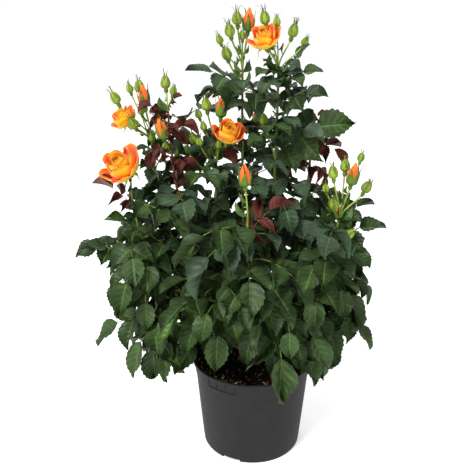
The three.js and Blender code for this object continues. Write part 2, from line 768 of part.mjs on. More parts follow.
// Whether a point lies inside the crown's outline, above the soil and clear of the pot.
function insideReach(point) {
  const upper = crownOutline.findIndex(({ height }) => height > point.z);
  if (upper < 1) return false;
  const [low, high] = crownOutline.slice(upper - 1, upper + 1);
  const share = (point.z - low.height) / (high.height - low.height);
  const left = lerp(low.left, high.left, share);
  const right = lerp(low.right, high.right, share);
  const wide = Math.abs(point.x) / (point.x < 0 ? left : right);
  const deep = Math.abs(point.y) / ((left + right) * 0.5 * crownDepthShare);
  if (wide ** crownSquareness + deep ** crownSquareness > 1) return false;
  const facing = new THREE.Vector2(point.x, point.y).angle() - radians(soilView.bearing);
  if (Math.abs(facing) < radians(soilView.spread) && point.z < soilView.height) return false;
  return clearOfPot(point);
}

const nearest = (point, bones) => Math.min(...bones.map((bone) => point.distanceTo(bone)));

// The leaf at one place on a shoot, turned the way that lets most of its leaflets fit, or nothing where too
// few do.
function growLeaf(shoot, index, others, held) {
  const { cane, curve } = shoot;
  const random = seeded(cane.seed * 1000 + index);
  const [lift, fall, twist, wander, growth] = Array.from({ length: 5 }, random);
  const share = (0.5 + index * GOLDEN_SHARE) % 1;
  const root = curve.getPoint(lerp(cane.neck + 0.03, 0.97, share));
  const outward = new THREE.Vector3(root.x, root.y, 0).normalize();
  const height = THREE.MathUtils.clamp((root.z - leaf.lowHeight) / (leaf.topHeight - leaf.lowHeight), 0, 1);
  const pitch = radians(lerp(...leaf.pitch, lift) + leaf.topPitch * height);
  const droop = radians(lerp(...leaf.droop, fall) + leaf.topDroop * height);
  const clear = (point, near) => insideReach(point)
    && !held.crowded(point, (owner) => (owner === cane.name ? near : neighbourGap));
  const fits = (blade) => {
    const tip = bladePoint(blade, 1, 0);
    const own = nearest(tip, shoot.bones) - spaceSlack;
    return bladePoints(blade).every((point) => clear(point, ownGap))
      && others.every((other) => nearest(tip, other.bones) > own);
  };
  let best = null;
  for (let turn = 0; turn < leafTurns; turn++) {
    const angle = radians(index * GOLDEN_ANGLE + cane.foot + turn * turnStep + (wander - 0.5) * leaf.spread);
    const heading = new THREE.Vector3(Math.cos(angle), Math.sin(angle), 0)
      .addScaledVector(outward, lerp(...leaf.outward, height)).normalize();
    const shrink = turn < leafTurns / 2 ? 1 : leaf.youngSize;
    const size = lerp(leaf.lowSize, leaf.topSize, height) * lerp(...leaf.growth, growth) * shrink;
    const made = compoundLeaf(root, heading, pitch, droop, (twist - 0.5) * leaf.roll, size);
    const ribs = pointsAlong(made.rib, sampleStep).slice(1);
    if (!ribs.every((point) => clear(point, 0))) continue;
    const leaflets = made.leaflets.map((blade) => (fits(blade) ? blade : null));
    const kept = leaflets.filter(Boolean);
    if (!leaflets.at(-1) || kept.length <= (best ? best.kept : leaf.fewest - 1)) continue;
    best = { ...made, leaflets, kept: kept.length, points: [...kept.flatMap(bladePoints), ...ribs] };
    if (kept.length === leaf.count) break;
  }
  return best;
}

// A leaf that the cane's own row asks for, with the leaflets that stay clear of the other shoots and the
// pot.
function growSpray(shoot, { from, tip, droop, roll }, held) {
  const made = leafTo(shoot.curve.getPoint(from), vector(tip), radians(droop), radians(roll));
  const clear = (point) => clearOfPot(point)
    && !held.crowded(point, (owner) => (owner === shoot.cane.name ? 0 : neighbourGap));
  const leaflets = made.leaflets.map((blade) => (bladePoints(blade).every(clear) ? blade : null));
  const kept = leaflets.filter(Boolean);
  const ribs = pointsAlong(made.rib, sampleStep).slice(1);
  return { ...made, leaflets, kept: kept.length, points: [...kept.flatMap(bladePoints), ...ribs] };
}

// Leaves are dealt out in turns, one place on every shoot at a time, so that the shoots share the space
// evenly. The low canes, whose leaves close the crown's outside, have their turns first.
function growCrown(shoots) {
  const held = new HeldSpace(10);
  for (const shoot of shoots) {
    const { cane, curve } = shoot;
    held.add(pointsAlong(stretch(curve, 0, cane.neck), 4), 'bough');
    held.add(pointsAlong(shoot.stem, 4), cane.name);
    held.add(shoot.stalks.flatMap((stalk) => pointsAlong(stalk, 4)), cane.name);
    held.add(shoot.flowers.flatMap(flowerPoints), cane.name);
    shoot.bones = pointsAlong(shoot.stem, 12);
  }
  for (const shoot of shoots) {
    shoot.leaves = (shoot.cane.sprays ?? []).map((spray) => {
      const made = growSpray(shoot, spray, held);
      held.add(made.points, shoot.cane.name);
      return made;
    });
    shoot.blades = shoot.leaves.reduce((sum, { kept }) => sum + kept, 0);
  }
  for (const tier of [2, 1, 0]) {
    for (let place = 0; place < leafPlaces; place++) {
      const unfilled = ({ cane, blades }) => cane.tier === tier && blades < cane.leaves * leaf.count;
      const growing = shoots.filter(unfilled);
      for (const shoot of growing) {
        const made = growLeaf(shoot, place, shoots.filter((other) => other !== shoot), held);
        if (!made) continue;
        shoot.leaves.push(made);
        shoot.blades += made.kept;
        held.add(made.points, shoot.cane.name);
      }
    }
  }
}

function shootSolid(shoot) {
  const { cane, stem, flowers, stalks, leaves } = shoot;
  const { neck, tip } = caneGirth[cane.tier];
  const pieces = [limb(stem, neck * 0.9, tip, twigSides, stemSteps)];
  stalks.forEach((stalk) => pieces.push(limb(stalk, 1.5, 1.5, twigSides, 2)));
  for (const flower of flowers) {
    const solid = flower.kind === 'bloom' ? bloomSolid : budSolid;
    pieces.push(solid(flower, flower.fork));
  }
  pieces.push(...leaves.map(leafSolid));
  const bodies = joined(pieces).decompose();
  return bodies.reduce((largest, body) => (body.volume() > largest.volume() ? body : largest));
}

// ---------------------------------------------------------------- assembly

const bush = new THREE.Group();
bush.add(meshOf('pot', potSolid(), materials.pot));
bush.add(meshOf('soil', soilSolid(), materials.soil));
bush.add(meshOf('crown', crownSolid(), materials.wood));

const shoots = canes.map((cane, index) => {
  const curve = caneCurve(cane);
  const start = cane.neck + (CLEARANCE * 1.5) / curve.getLength();
  const stem = stretch(curve, start, 1);
  const flowers = (cane.flowers ?? []).map((flower) => {
    const share = lerp(start, 1, flower.from);
    return { ...flower, fork: curve.getPoint(share), heading: curve.getTangent(share) };
  });
  const stalks = flowers.map((flower) => stalkCurve(flower, flower.fork, flower.heading));
  return { cane: { ...cane, seed: index + 1 }, curve, stem, flowers, stalks };
});
growCrown(shoots);

const grownCrown = crownSolid(CLEARANCE);
for (const shoot of shoots) {
  const { name } = shoot.cane;
  bush.add(meshOf(`bough_${name}`, boughSolid(shoot.cane, shoot.curve, grownCrown), materials.wood));
  bush.add(meshOf(`foliage_${name}`, shootSolid(shoot), materials.foliage));
}

export default bush;
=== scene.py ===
"""Rose bush in a nursery pot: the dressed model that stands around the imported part."""

import math
from functools import lru_cache
from itertools import product

import bpy
import numpy as np
from bpy.props import FloatProperty, FloatVectorProperty, IntProperty, PointerProperty
from bpy.types import Operator, Panel, PropertyGroup
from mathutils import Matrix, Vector, noise


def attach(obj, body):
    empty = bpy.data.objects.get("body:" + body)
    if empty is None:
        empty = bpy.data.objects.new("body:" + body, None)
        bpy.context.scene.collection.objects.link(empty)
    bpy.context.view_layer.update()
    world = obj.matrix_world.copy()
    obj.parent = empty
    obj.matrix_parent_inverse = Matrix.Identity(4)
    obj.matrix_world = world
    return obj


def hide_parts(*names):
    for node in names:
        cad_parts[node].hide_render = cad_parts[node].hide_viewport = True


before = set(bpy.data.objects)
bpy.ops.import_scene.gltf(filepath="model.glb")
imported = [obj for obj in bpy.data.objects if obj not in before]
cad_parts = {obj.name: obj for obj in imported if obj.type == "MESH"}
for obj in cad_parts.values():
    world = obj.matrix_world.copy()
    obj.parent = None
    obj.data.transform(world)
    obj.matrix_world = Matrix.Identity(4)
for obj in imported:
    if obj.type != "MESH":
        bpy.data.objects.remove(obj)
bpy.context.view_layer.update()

bl_info = {
    "name": "Rose bush in a nursery pot",
    "version": (1, 0, 0),
    "blender": (4, 5, 0),
    "location": "View3D > Sidebar > Rose bush",
    "description": "Builds a container-grown rose bush, its pot and a studio stage",
    "category": "Add Mesh",
}

MM = 0.001
UP = np.array([0.0, 0.0, 1.0])
ANY_TURN = 6.28  # radians, all but a full turn, for angles and phases that are drawn
MOST_TRIANGLES = 180_000  # in one joined piece
FOLIAGE_NODES = sorted(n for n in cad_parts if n.startswith("foliage_"))
BOUGH_NODES = sorted(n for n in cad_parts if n.startswith("bough_"))

# ---------------------------------------------------------------- sizes of the plant, in millimetres

CLEARANCE = 0.3  # between solids that stand on each other
POT = dict(
    height=183, foot=94, body=108, lip=115, collar=30, lip_height=6, wall=2.4, floor=3, chamfer=3,
    notches=3, notch_bearing=246, notch_width=36, notch_depth=16, notch_height=6,
)
SOIL_DROP, SOIL_DOME = 16, 5
CROWN = dict(height=38, flare=30, neck=19, knuckle=24)
SOIL_LEVEL = POT["height"] - SOIL_DROP
SOIL_EDGE = POT["lip"] - 3 - POT["wall"] - 4.5
CROWN_FOOT = SOIL_LEVEL + SOIL_DOME + CLEARANCE

# A compound leaf: a bare stalk, a pair of small leaflets, a pair of larger ones and the end leaflet.
LEAF = dict(
    count=5, stalk=28, spacing=32, end=66, pair_shares=(0.78, 0.92), pair_angles=(74, 58), widest=0.42,
    width=0.76, fold=0.08, fewest=3, low_size=1.12, top_size=1, low_height=300, top_height=580,
    pitch=(5, 40), droop=(45, 85), top_pitch=4, top_droop=-36, sag=0.3, end_droop=1.5, young_size=0.82,
    spread=30, roll=0.8, outward=(0.8, 0.25), growth=(0.88, 1.08),
)
# The rib before its bend and after it, then the end leaflet, and the shares of the rib where the pairs stand.
RIB_LENGTHS = (LEAF["stalk"] + LEAF["spacing"] * 0.4, LEAF["spacing"] * 1.6, LEAF["end"])
PAIR_PLACES = (LEAF["stalk"] + LEAF["spacing"] * np.arange(2)) / (LEAF["stalk"] + LEAF["spacing"] * 2)

# Height, and how far the leaves reach to the left and the right there.
CROWN_OUTLINE = np.array([
    (185, 200, 150), (250, 252, 200), (400, 276, 214), (480, 245, 214),
    (560, 215, 160), (640, 165, 150), (700, 120, 130), (800, 90, 100),
], float)
CROWN_DEPTH, CROWN_SQUARENESS = 0.9, 3
SOIL_VIEW = dict(bearing=257, spread=27, height=236, finer=60)
POT_CLEAR = 5

GOLDEN_ANGLE, GOLDEN_SHARE = 137.5, 0.618
LEAF_PLACES, LEAF_TURNS, TURN_STEP = 34, 10, 100
LEAFY_SHARES, LEAFY_MARGIN = (0.03, 0.97), 0.5  # past the neck, and up to the tip
SAMPLE_STEP, SAMPLE_COLUMNS, BONE_STEP, STEM_STEP = 8, 6, 12, 4
NEIGHBOUR_GAP, OWN_GAP, SPACE_SLACK = 7, 5, 70
HELD_CELL = 10  # size of a cell of held space, wider than the widest gap
YOUNG_CANES = ("left_mid", "right_inner")

# The leaves between those of the solids: gaps to their own shoot and to others, turns tried, and sizes.
FINE_GAPS, FINE_TURNS = (2.5, 3.5), 4
FINE_LOW_SIZE, FINE_TOP_SIZE, TWIG_LEAF_SIZE = 0.9, 0.78, 0.74
OPEN_RIGHT, OPEN_LEFT = 75, (-60, 530)  # the upper bush stays open right of this, and left of and above this
TWIG = dict(
    leaves=5, turns=6, turn_step=61, first_turn=40, reach=(46, 92), rise=0.55, outward=(0.9, 0.3), gap=3,
    low=0.08, high=0.9, margin=0.3, bare=0.2,
)
TIP_LEAVES = 6  # that stand folded about a young cane's tip
CANE = dict(lean_over=150, least_lean=0.25, upright=1.3, tilt=0.5, foot_length=24)
TIERS = (
    dict(height=0.93, radius=9, base=4.0, neck=3.2, tip=2.0),
    dict(height=0.7, radius=11, base=4.0, neck=3.2, tip=1.9),
    dict(height=0.42, radius=12, base=3.6, neck=2.9, tip=1.7),
)
BUD_SIZES = {"bud": (7, 26), "opening": (9.5, 38), "young": (5, 18)}  # radius and height
BLOOM_DEPTH = 0.62  # from its middle back to its foot, as a share of its radius
STALK_BEND, STALK_IN_CANE, STALK_IN_FLOWER = 0.35, 3, 2


def bloom(at, facing, radius, share=1):
    return dict(kind="bloom", at=at, facing=facing, radius=radius, share=share)


def opening(at, share=1):
    return dict(kind="opening", at=at, facing=None, radius=12, share=share)


def bud(at, share=1):
    return dict(kind="bud", at=at, facing=None, radius=12, share=share)


# Name, bearing of the foot, tier on the crown, tip, shoulder, neck, most leaves, flowers, and the leaves that
# give the bush its outline: share of the cane, where the end leaflet's tip comes to, droop and roll in
# degrees, and True for one that has only just unfolded.
CANES = (
    ("top_right", 14, 0, (38, 0, 722), (1.1, 0.5), 0.36, 8, (
        bloom((14, -12, 775), (-0.25, -0.45, 0.85), 27), bud((62, 0, 787)), bud((14, 16, 806)),
        bud((14, 4, 640), 0.66)),
     ((0.92, (121, -20, 683), 30, 40), (0.97, (112, -6, 722), 18, 30), (0.86, (66, -66, 640), 60, 0),
      (0.8, (170, -24, 638), 32, 55), (0.98, (8, -56, 688), 36, 0))),
    ("top_left", 124, 1, (-22, 30, 714), (1.1, 0.5), 0.36, 7, (
        opening((-12, 16, 800)), bud((-31, 2, 806)), bud((-43, -12, 788)), bud((-48, -18, 752), 0.92)),
     ((0.96, (-117, 0, 723), 25, -35), (0.9, (-50, -60, 662), 60, -20))),
    ("left_upper", 164, 0, (-178, 12, 590), (1.0, 0.4), 0.4, 4, (
        bloom((-226, 0, 640), (-0.55, -0.35, 0.75), 25), opening((-190, 10, 675)), bud((-240, 4, 675)),
        bud((-200, 26, 692)), bud((-207, -22, 637))), ((0.84, (-184, -46, 530), 50, 30),)),
    ("left_mid", 186, 1, (-146, -16, 655), (0.95, 0.35), 0.4, 5, (
        bud((-151, 0, 703)), opening((-154, -50, 632), 0.84)),
     ((0.97, (-208, -20, 640), 55, -40, True), (0.94, (-92, -36, 628), 55, 40, True),
      (0.86, (-92, -40, 566), 55, 40, True))),
    ("left_bloom", 228, 1, (-208, -56, 528), (0.95, 0.35), 0.38, 5, (
        bloom((-222, -64, 574), (-0.45, -0.5, 0.74), 36),),
     ((0.95, (-268, -62, 548), 15, -30, True), (0.82, (-250, -76, 486), 35, -30))),
    ("centre", 206, 0, (-66, 6, 572), (1.2, 0.4), 0.38, 4, (
        bloom((-42, -22, 621), (0.1, -0.45, 0.9), 27), opening((-58, 26, 655)), bud((-84, 12, 664)),
        bud((-107, 0, 607), 0.94)), ()),
    ("front", 260, 0, (-10, -104, 500), (1.0, 0.4), 0.34, 6, (opening((-15, -110, 570)),),
     ((0.93, (60, -112, 532), 20, 50, True),)),
    ("right", 316, 0, (144, -66, 482), (0.9, 0.6), 0.36, 5, (
        opening((164, -62, 560)), bud((130, -62, 566)), bud((152, -48, 574)), bud((189, -62, 541)),
        bud((130, -86, 520), 0.94), bud((163, -80, 463), 0.84)),
     ((0.84, (226, -60, 470), 35, 45), (0.8, (200, -90, 405), 50, 30))),
    ("right_inner", 344, 1, (98, 16, 622), (1.05, 0.4), 0.36, 4, (),
     ((0.95, (158, -10, 560), 60, 40, True), (0.88, (34, -38, 570), 60, -30, True))),
    ("back_right", 46, 1, (134, 124, 392), (1.0, 0.4), 0.36, 4, (
        bloom((146, 146, 434), (0.4, 0.5, 0.75), 34), bud((112, 140, 450))), ()),
    ("back_centre", 80, 0, (6, 130, 560), (1.0, 0.4), 0.36, 4, (
        opening((6, 140, 618)), bud((-18, 148, 602)), bud((30, 140, 606))), ()),
    ("back_left", 132, 2, (-134, 124, 394), (1.0, 0.4), 0.36, 4, (
        bloom((-150, 146, 436), (-0.4, 0.55, 0.73), 34), bud((-120, 146, 454))), ()),
    ("left_side", 192, 2, (-240, -34, 410), (0.5, 0.7), 0.3, 5, (), ((0.95, (-316, -50, 402), 45, -30),)),
    ("left_low", 219, 2, (-176, -112, 300), (0.5, 0.9), 0.26, 6, (),
     ((0.94, (-274, -112, 260), 55, -30), (0.82, (-208, -150, 218), 70, 0))),
    ("front_low_left", 246, 2, (-72, -112, 352), (0.5, 0.8), 0.26, 5, (),
     ((0.56, (-138, -130, 213), 40, -45), (0.7, (-62, -160, 237), 75, 0))),
    ("front_low_right", 286, 2, (62, -116, 352), (0.5, 0.8), 0.26, 5, (),
     ((0.6, (50, -158, 176), 80, 0), (0.86, (130, -152, 296), 60, 0))),
    ("right_low", 328, 2, (150, -76, 300), (0.5, 0.95), 0.26, 6, (),
     ((0.92, (212, -104, 258), 50, 30), (0.74, (150, -136, 250), 65, 0))),
    ("right_side", 4, 2, (130, 14, 392), (0.5, 0.8), 0.28, 5, (), ()),
    ("back_low_right", 66, 2, (58, 142, 336), (0.5, 0.8), 0.26, 5, (), ()),
    ("back_low", 100, 2, (-38, 140, 346), (0.5, 0.8), 0.26, 5, (), ()),
    ("back_low_left", 152, 2, (-150, 92, 326), (0.5, 0.8), 0.26, 5, (), ()),
    ("left_back", 174, 2, (-204, 44, 356), (0.5, 0.75), 0.3, 5, (), ()),
)

# Small leaves that are too fine for the solids, in the same terms.
FINE_SPRAYS = {
    "top_right": (
        (0.99, (0, -40, 716), 40, 0), (1, (12, -30, 741), 20, 0), (0.97, (44, -40, 708), 40, 10),
        (0.99, (86, 0, 765), -20, 20), (0.98, (72, 0, 730), 10, 30), (0.93, (4, -44, 648), 60, 0),
        (0.84, (118, -40, 612), 50, 30)),
    "top_left": (
        (0.97, (-18, -30, 690), 50, 0), (0.93, (-84, -10, 668), 40, -30), (0.88, (-8, -34, 618), 60, 0)),
    "left_upper": (
        (0.97, (-206, -30, 590), 50, 0), (0.95, (-150, 6, 604), 30, 20), (0.9, (-196, -30, 560), 60, -20)),
    "left_mid": ((0.99, (-196, -24, 664), 30, 0, True), (0.9, (-176, -40, 566), 60, 0, True)),
    "centre": (
        (0.98, (-72, -30, 618), 95, 0, True), (0.95, (-116, -20, 590), 50, 0),
        (0.92, (-24, -44, 560), 60, 0)),
    "right_inner": ((0.99, (136, -10, 628), 60, 20, True),),
    "right": ((0.97, (204, -50, 510), 30, 30), (0.8, (121, -86, 498), 10, 0)),
    "left_bloom": ((0.9, (-195, -62, 534), 40, -30),),
    "back_right": ((0.9, (130, 98, 466), 15, 0),),
    "left_side": ((0.9, (-302, -56, 424), 20, -30),),
    "left_low": ((0.9, (-234, -124, 312), 50, -20),),
}

# Buds too small for the solids: cane, middle of the bud, share of the stem where its stalk forks.
FINE_BUDS = (
    ("top_left", (-22, 6, 778), 0.98), ("top_left", (-60, -6, 772), 0.96),
    ("top_right", (34, 4, 800), 1), ("top_right", (82, 4, 768), 0.98),
    ("left_upper", (-176, -16, 612), 0.9), ("left_upper", (-214, 8, 690), 1),
    ("left_upper", (-166, 4, 648), 0.96), ("left_upper", (-193, -10, 656), 0.94),
    ("left_upper", (-150, -24, 600), 0.86), ("left_mid", (-136, -14, 690), 1),
    ("centre", (-96, -8, 650), 0.98), ("centre", (-62, -16, 600), 0.9), ("centre", (-88, -4, 628), 0.94),
    ("centre", (-94, -24, 606), 0.9), ("centre", (-116, -12, 590), 0.84),
    ("right", (118, -70, 540), 0.96), ("right", (176, -58, 590), 1),
)

# ---------------------------------------------------------------- what a user would change


def linear(value):
    """A colour written in sRGB hex, as linear red, green, blue and alpha."""
    parts = [int(value[i : i + 2], 16) / 255 for i in (1, 3, 5)]
    return (*(p / 12.92 if p <= 0.04045 else ((p + 0.055) / 1.055) ** 2.4 for p in parts), 1.0)


def colour_setting(name, description, value):
    return FloatVectorProperty(
        name=name, description=description, subtype="COLOR", size=3, min=0, max=1, default=linear(value)[:3]
    )


def length_setting(name, description, millimetres):
    return FloatProperty(name=name, description=description, default=millimetres * MM, min=0, unit="LENGTH")


def angle_setting(name, description, degrees):
    return FloatProperty(name=name, description=description, default=math.radians(degrees), subtype="ANGLE")


def count_setting(name, description, count, least=0):
    return IntProperty(name=name, description=description, default=count, min=least)


def strength_setting(name, description, strength):
    return FloatProperty(name=name, description=description, default=strength, min=0)


def opaque(value):
    return (*value, 1.0)


class PotSettings(PropertyGroup):
    segments: count_setting("Segments", "Flats round the pot", 144, 24)
    grains: count_setting("Grains", "Loose bits on the soil", 4200)
    rib: length_setting("Label rib", "Height of the label frame's ribs", 0.8)
    plastic: colour_setting("Plastic", "Colour of the pot", "#222123")
    peat: colour_setting("Peat", "Colour of the damp soil", "#0f0c09")


class CaneSettings(PropertyGroup):
    sides: count_setting("Sides", "Flats round a cane", 12, 6)
    prickles: count_setting("Prickles", "Prickles on each cane", 16)
    prickle: length_setting("Prickle", "Length of a prickle", 5.5)


class LeafSettings(PropertyGroup):
    extra: count_setting("Finer places", "Places for more leaves on each shoot", 36)
    twigs: count_setting("Side twigs", "Side twigs tried on each shoot", 6)
    fill: length_setting("Fill height", "Finer leaves grow below this", 430)
    upper: count_setting("Upper places", "Places for finer leaves above that", 16)
    deep: colour_setting("Deep", "Old leaves low on the bush", "#2b3e1f")
    middle: colour_setting("Middle", "Full-grown leaves", "#364b28")
    fresh: colour_setting("Fresh", "Leaves in their first year", "#43602a")
    # Painted sky reflection: a greyer, bluer green that the upper leaves take for the sheen of the white sky
    # on them.
    sky_sheen: colour_setting("Greyed", "Upper leaves, seen against the light", "#3a4d38")
    maroon: colour_setting("Maroon", "Leaves that have just unfolded", "#5e302a")


class FlowerSettings(PropertyGroup):
    petals: count_setting("Petals", "Petals in the outer whorl", 5, 3)
    inside: colour_setting("Inside", "Petals as seen from the middle", "#ffcc12")
    outside: colour_setting("Outside", "Backs of the petals", "#ff6c20")
    flush: colour_setting("Flush", "Low on the backs of the petals", "#ff4c32")
    sepal: colour_setting("Sepal", "Sepals and hips", "#5c7c28")


class StageSettings(PropertyGroup):
    lens: FloatProperty(name="Lens", description="Focal length on a 36 mm frame", default=54.31, min=10)
    distance: length_setting("Distance", "Camera in front of the pot's axis", 1187)
    height: length_setting("Height", "Camera above the floor", 872)
    pitch: angle_setting("Pitch", "How far it looks down", 20.3)
    yaw: angle_setting("Yaw", "How far it turns to the left", 1.88)
    sky: strength_setting("Sky", "Strength of the even light from all sides", 0.6)
    glow: strength_setting("Table glow", "Strength of the table's own light", 0.45)


# ---------------------------------------------------------------- small helpers

WORD, SEED_STEP = 0xFFFFFFFF, 0x6D2B79F5  # of the random draws: their 32 bits, and the step between states


def unit(v):
    v = np.asarray(v, float)
    return v / max(np.linalg.norm(v), 1e-12)


def lerp(a, b, t):
    return a + (b - a) * t


def seeded(seed):
    """Numbers from 0 to 1 that are the same on every run, and the same as the solids were grown from."""
    state = seed & WORD

    def draw():
        nonlocal state
        state = (state + SEED_STEP) & WORD
        mixed = ((state ^ (state >> 15)) * (state | 1)) & WORD
        mixed ^= (mixed + (mixed ^ (mixed >> 7)) * (mixed | 61)) & WORD
        return ((mixed ^ (mixed >> 14)) & WORD) / (WORD + 1)

    return draw


def bezier(*corners):
    """A curve through its first and last corner, as a function of a share or an array of shares."""
    corners = [np.asarray(c, float) for c in corners]
    n = len(corners) - 1

    def at(t):
        t = np.asarray(t, float)[..., None]
        return sum(math.comb(n, i) * (1 - t) ** (n - i) * t**i * c for i, c in enumerate(corners))

    return at


def stretch(run, start, end):
    """Part of a curve, as a curve of its own."""
    return lambda t: run(lerp(start, end, np.asarray(t, float)))


def heading_at(run, t, step=1e-4):
    return unit(run(min(t + step, 1)) - run(max(t - step, 0)))


def length_of(run):
    """Length of a curve, near enough."""
    points = run(np.linspace(0, 1, 201))
    return np.linalg.norm(np.diff(points, axis=0), axis=1).sum()


def points_along(run, step):
    """Points of a curve, no further apart than a step where it runs nearly straight."""
    steps = math.ceil(np.linalg.norm(run(0) - run(1)) / step) + 1
    return run(np.arange(steps + 1) / steps)


def turned_about(v, axis, angle):
    c, s = math.cos(angle), math.sin(angle)
    return v * c + np.cross(axis, v) * s + axis * (axis @ v) * (1 - c)


def basis(axis):
    """Two directions square to an axis and to each other."""
    side = unit(np.cross(axis, (0, 1, 0) if abs(axis[1]) < 0.9 else (1, 0, 0)))
    return side, np.cross(axis, side)


# ---------------------------------------------------------------- meshes


class Skin:
    """Parts of one kind of growth, gathered until they are joined into pieces."""

    def __init__(self):
        self.parts = []

    def add(self, points, triangles, finish=0, along=0.0):
        points = np.asarray(points, float).reshape(-1, 3)
        triangles = np.asarray(triangles, int)
        self.parts.append((
            points, triangles, np.broadcast_to(finish, len(triangles)), np.broadcast_to(along, len(points))
        ))

    def groups(self):
        """The parts in groups that stay under the most triangles of one piece."""
        group, count = [], 0
        for part in self.parts:
            if group and count + len(part[1]) > MOST_TRIANGLES:
                yield group
                group, count = [], 0
            group.append(part)
            count += len(part[1])
        if group:
            yield group


def make_piece(name, parts, materials, nodes=(), smooth=True):
    starts = np.cumsum([0] + [len(p[0]) for p in parts[:-1]])
    points = np.concatenate([p[0] for p in parts]) * MM
    triangles = np.concatenate([p[1] + s for p, s in zip(parts, starts)])
    mesh = bpy.data.meshes.new(name)
    mesh.vertices.add(len(points))
    mesh.vertices.foreach_set("co", points.ravel())
    mesh.loops.add(triangles.size)
    mesh.loops.foreach_set("vertex_index", triangles.ravel())
    mesh.polygons.add(len(triangles))
    mesh.polygons.foreach_set("loop_start", np.arange(0, triangles.size, 3))
    for material in materials:
        mesh.materials.append(material)
    mesh.polygons.foreach_set("material_index", np.concatenate([p[2] for p in parts]).astype(np.int32))
    mesh.polygons.foreach_set("use_smooth", np.full(len(triangles), smooth))
    layer = mesh.attributes.new("along", "FLOAT", "POINT")
    layer.data.foreach_set("value", np.concatenate([p[3] for p in parts]).astype(np.float32))
    mesh.update(calc_edges=True)
    mesh.validate()
    made = bpy.data.objects.new(name, mesh)
    bpy.context.scene.collection.objects.link(made)
    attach(made, "root")
    if nodes:
        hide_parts(*nodes)
    return made


def make_pieces(name, skin, materials, nodes=(), smooth=True):
    groups = list(skin.groups())
    for number, parts in enumerate(groups, 1):
        full = name if len(groups) == 1 else f"{name}_{number}"
        make_piece(full, parts, materials, nodes, smooth)


def grid_triangles(rows, columns, closed=False):
    """Triangles over rows by columns of points, closed round the columns where asked."""
    i, j = np.meshgrid(np.arange(rows - 1), np.arange(columns if closed else columns - 1), indexing="ij")
    a = i * columns + j
    b = i * columns + (j + 1) % columns
    return np.stack([a, b, b + columns, a, b + columns, a + columns], -1).reshape(-1, 3)


def frames_along(centres):
    """Side and up directions carried along a line of points without twisting."""
    ahead = np.gradient(centres, axis=0)
    ahead /= np.linalg.norm(ahead, axis=1, keepdims=True)
    side, _ = basis(ahead[0])
    sides = []
    for direction in ahead:
        side = unit(side - direction * (side @ direction))
        sides.append(side)
    sides = np.array(sides)
    return sides, np.cross(ahead, sides)


def capped(rings, first, last):
    """Points and triangles of a limb: rings of points joined up, and closed at a point on either end."""
    rows, sides = rings.shape[:2]
    j = np.arange(sides)
    k = (j + 1) % sides
    low, high, top = np.full(sides, rows * sides), np.full(sides, rows * sides + 1), (rows - 1) * sides
    caps = [np.stack([low, k, j], 1), np.stack([high, top + j, top + k], 1)]
    points = np.concatenate([rings.reshape(-1, 3), [first], [last]])
    return points, np.concatenate([grid_triangles(rows, sides, closed=True), *caps])


def tube(skin, run, radii, sides, steps, relief=None, **marks):
    """A closed round limb. Relief gives each corner's share of the radius by step and side."""
    t = np.linspace(0, 1, steps + 1)
    centres = run(t)
    side, up = frames_along(centres)
    radius = np.interp(t, np.linspace(0, 1, len(radii)), radii)[:, None]
    if relief is not None:
        radius = radius * relief(t, sides)
    angle = np.arange(sides) / sides * 2 * math.pi
    ring = side[:, None] * np.cos(angle)[None, :, None] + up[:, None] * np.sin(angle)[None, :, None]
    rings = centres[:, None] + ring * np.broadcast_to(radius, (steps + 1, sides))[..., None]
    skin.add(*capped(rings, centres[0], centres[-1]), **marks)


def shell(skin, points, thickness, outside=0, inside=1, along=0.0):
    """A closed thin sheet over a grid of points, its two sides each in their own finish."""
    rows, columns = points.shape[:2]
    down = np.gradient(points, axis=0)
    over = np.gradient(points, axis=1)
    normal = np.cross(down, over)
    normal /= np.maximum(np.linalg.norm(normal, axis=2, keepdims=True), 1e-9)
    both = np.concatenate([points.reshape(-1, 3), (points - normal * thickness).reshape(-1, 3)])
    size = rows * columns
    face = grid_triangles(rows, columns)
    edge = np.concatenate([
        np.arange(columns), np.arange(1, rows) * columns + columns - 1,
        (rows - 1) * columns + np.arange(columns - 2, -1, -1), np.arange(rows - 2, 0, -1) * columns,
    ])
    after = np.roll(edge, -1)
    rim = np.stack([edge, edge + size, after, after, edge + size, after + size], 1)
    rim = np.concatenate([rim[:, :3], rim[:, 3:]])
    triangles = np.concatenate([face, face[:, ::-1] + size, rim])
    sheets = (np.broadcast_to(finish, len(face)) for finish in (outside, inside))
    finish = np.concatenate([*sheets, np.full(len(rim), np.ravel(outside)[0])])
    shares = np.tile(np.broadcast_to(along, (rows, columns)).ravel(), 2)
    skin.add(both, triangles, finish, shares)


def turned_points(profile, segments):
    """Points of a profile of radius and height, turned round the upright axis."""
    profile = np.asarray(profile, float)
    angle = np.arange(segments) / segments * 2 * math.pi
    out, height = profile[:, 0, None], np.broadcast_to(profile[:, 1, None], (len(profile), segments))
    return np.stack([out * np.cos(angle), out * np.sin(angle), height], -1)


# ---------------------------------------------------------------- materials


def add_node(tree, kind, inputs=None, stops=None, **settings):
    """Adds one node with its settings, its colour stops, and its sockets set or linked."""
    made = tree.nodes.new(kind)
    for name, value in settings.items():
        setattr(made, name, value)
    for name, value in (inputs or {}).items():
        if isinstance(value, bpy.types.NodeSocket):
            tree.links.new(value, made.inputs[name])
        else:
            made.inputs[name].default_value = value
    if stops:
        elements = made.color_ramp.elements
        while len(elements) < len(stops):
            elements.new(0.5)
        for element, (place, value) in zip(elements, stops):
            element.position = place
            element.color = value
    return made


def shades(value, *factors):
    """A colour made darker or lighter by each factor."""
    return [(*(min(1.0, c * f) for c in value[:3]), 1.0) for f in factors]


def per_mm(size):
    """Texture scale at which one cell of a pattern is this many millimetres."""
    return 1 / (size * MM)


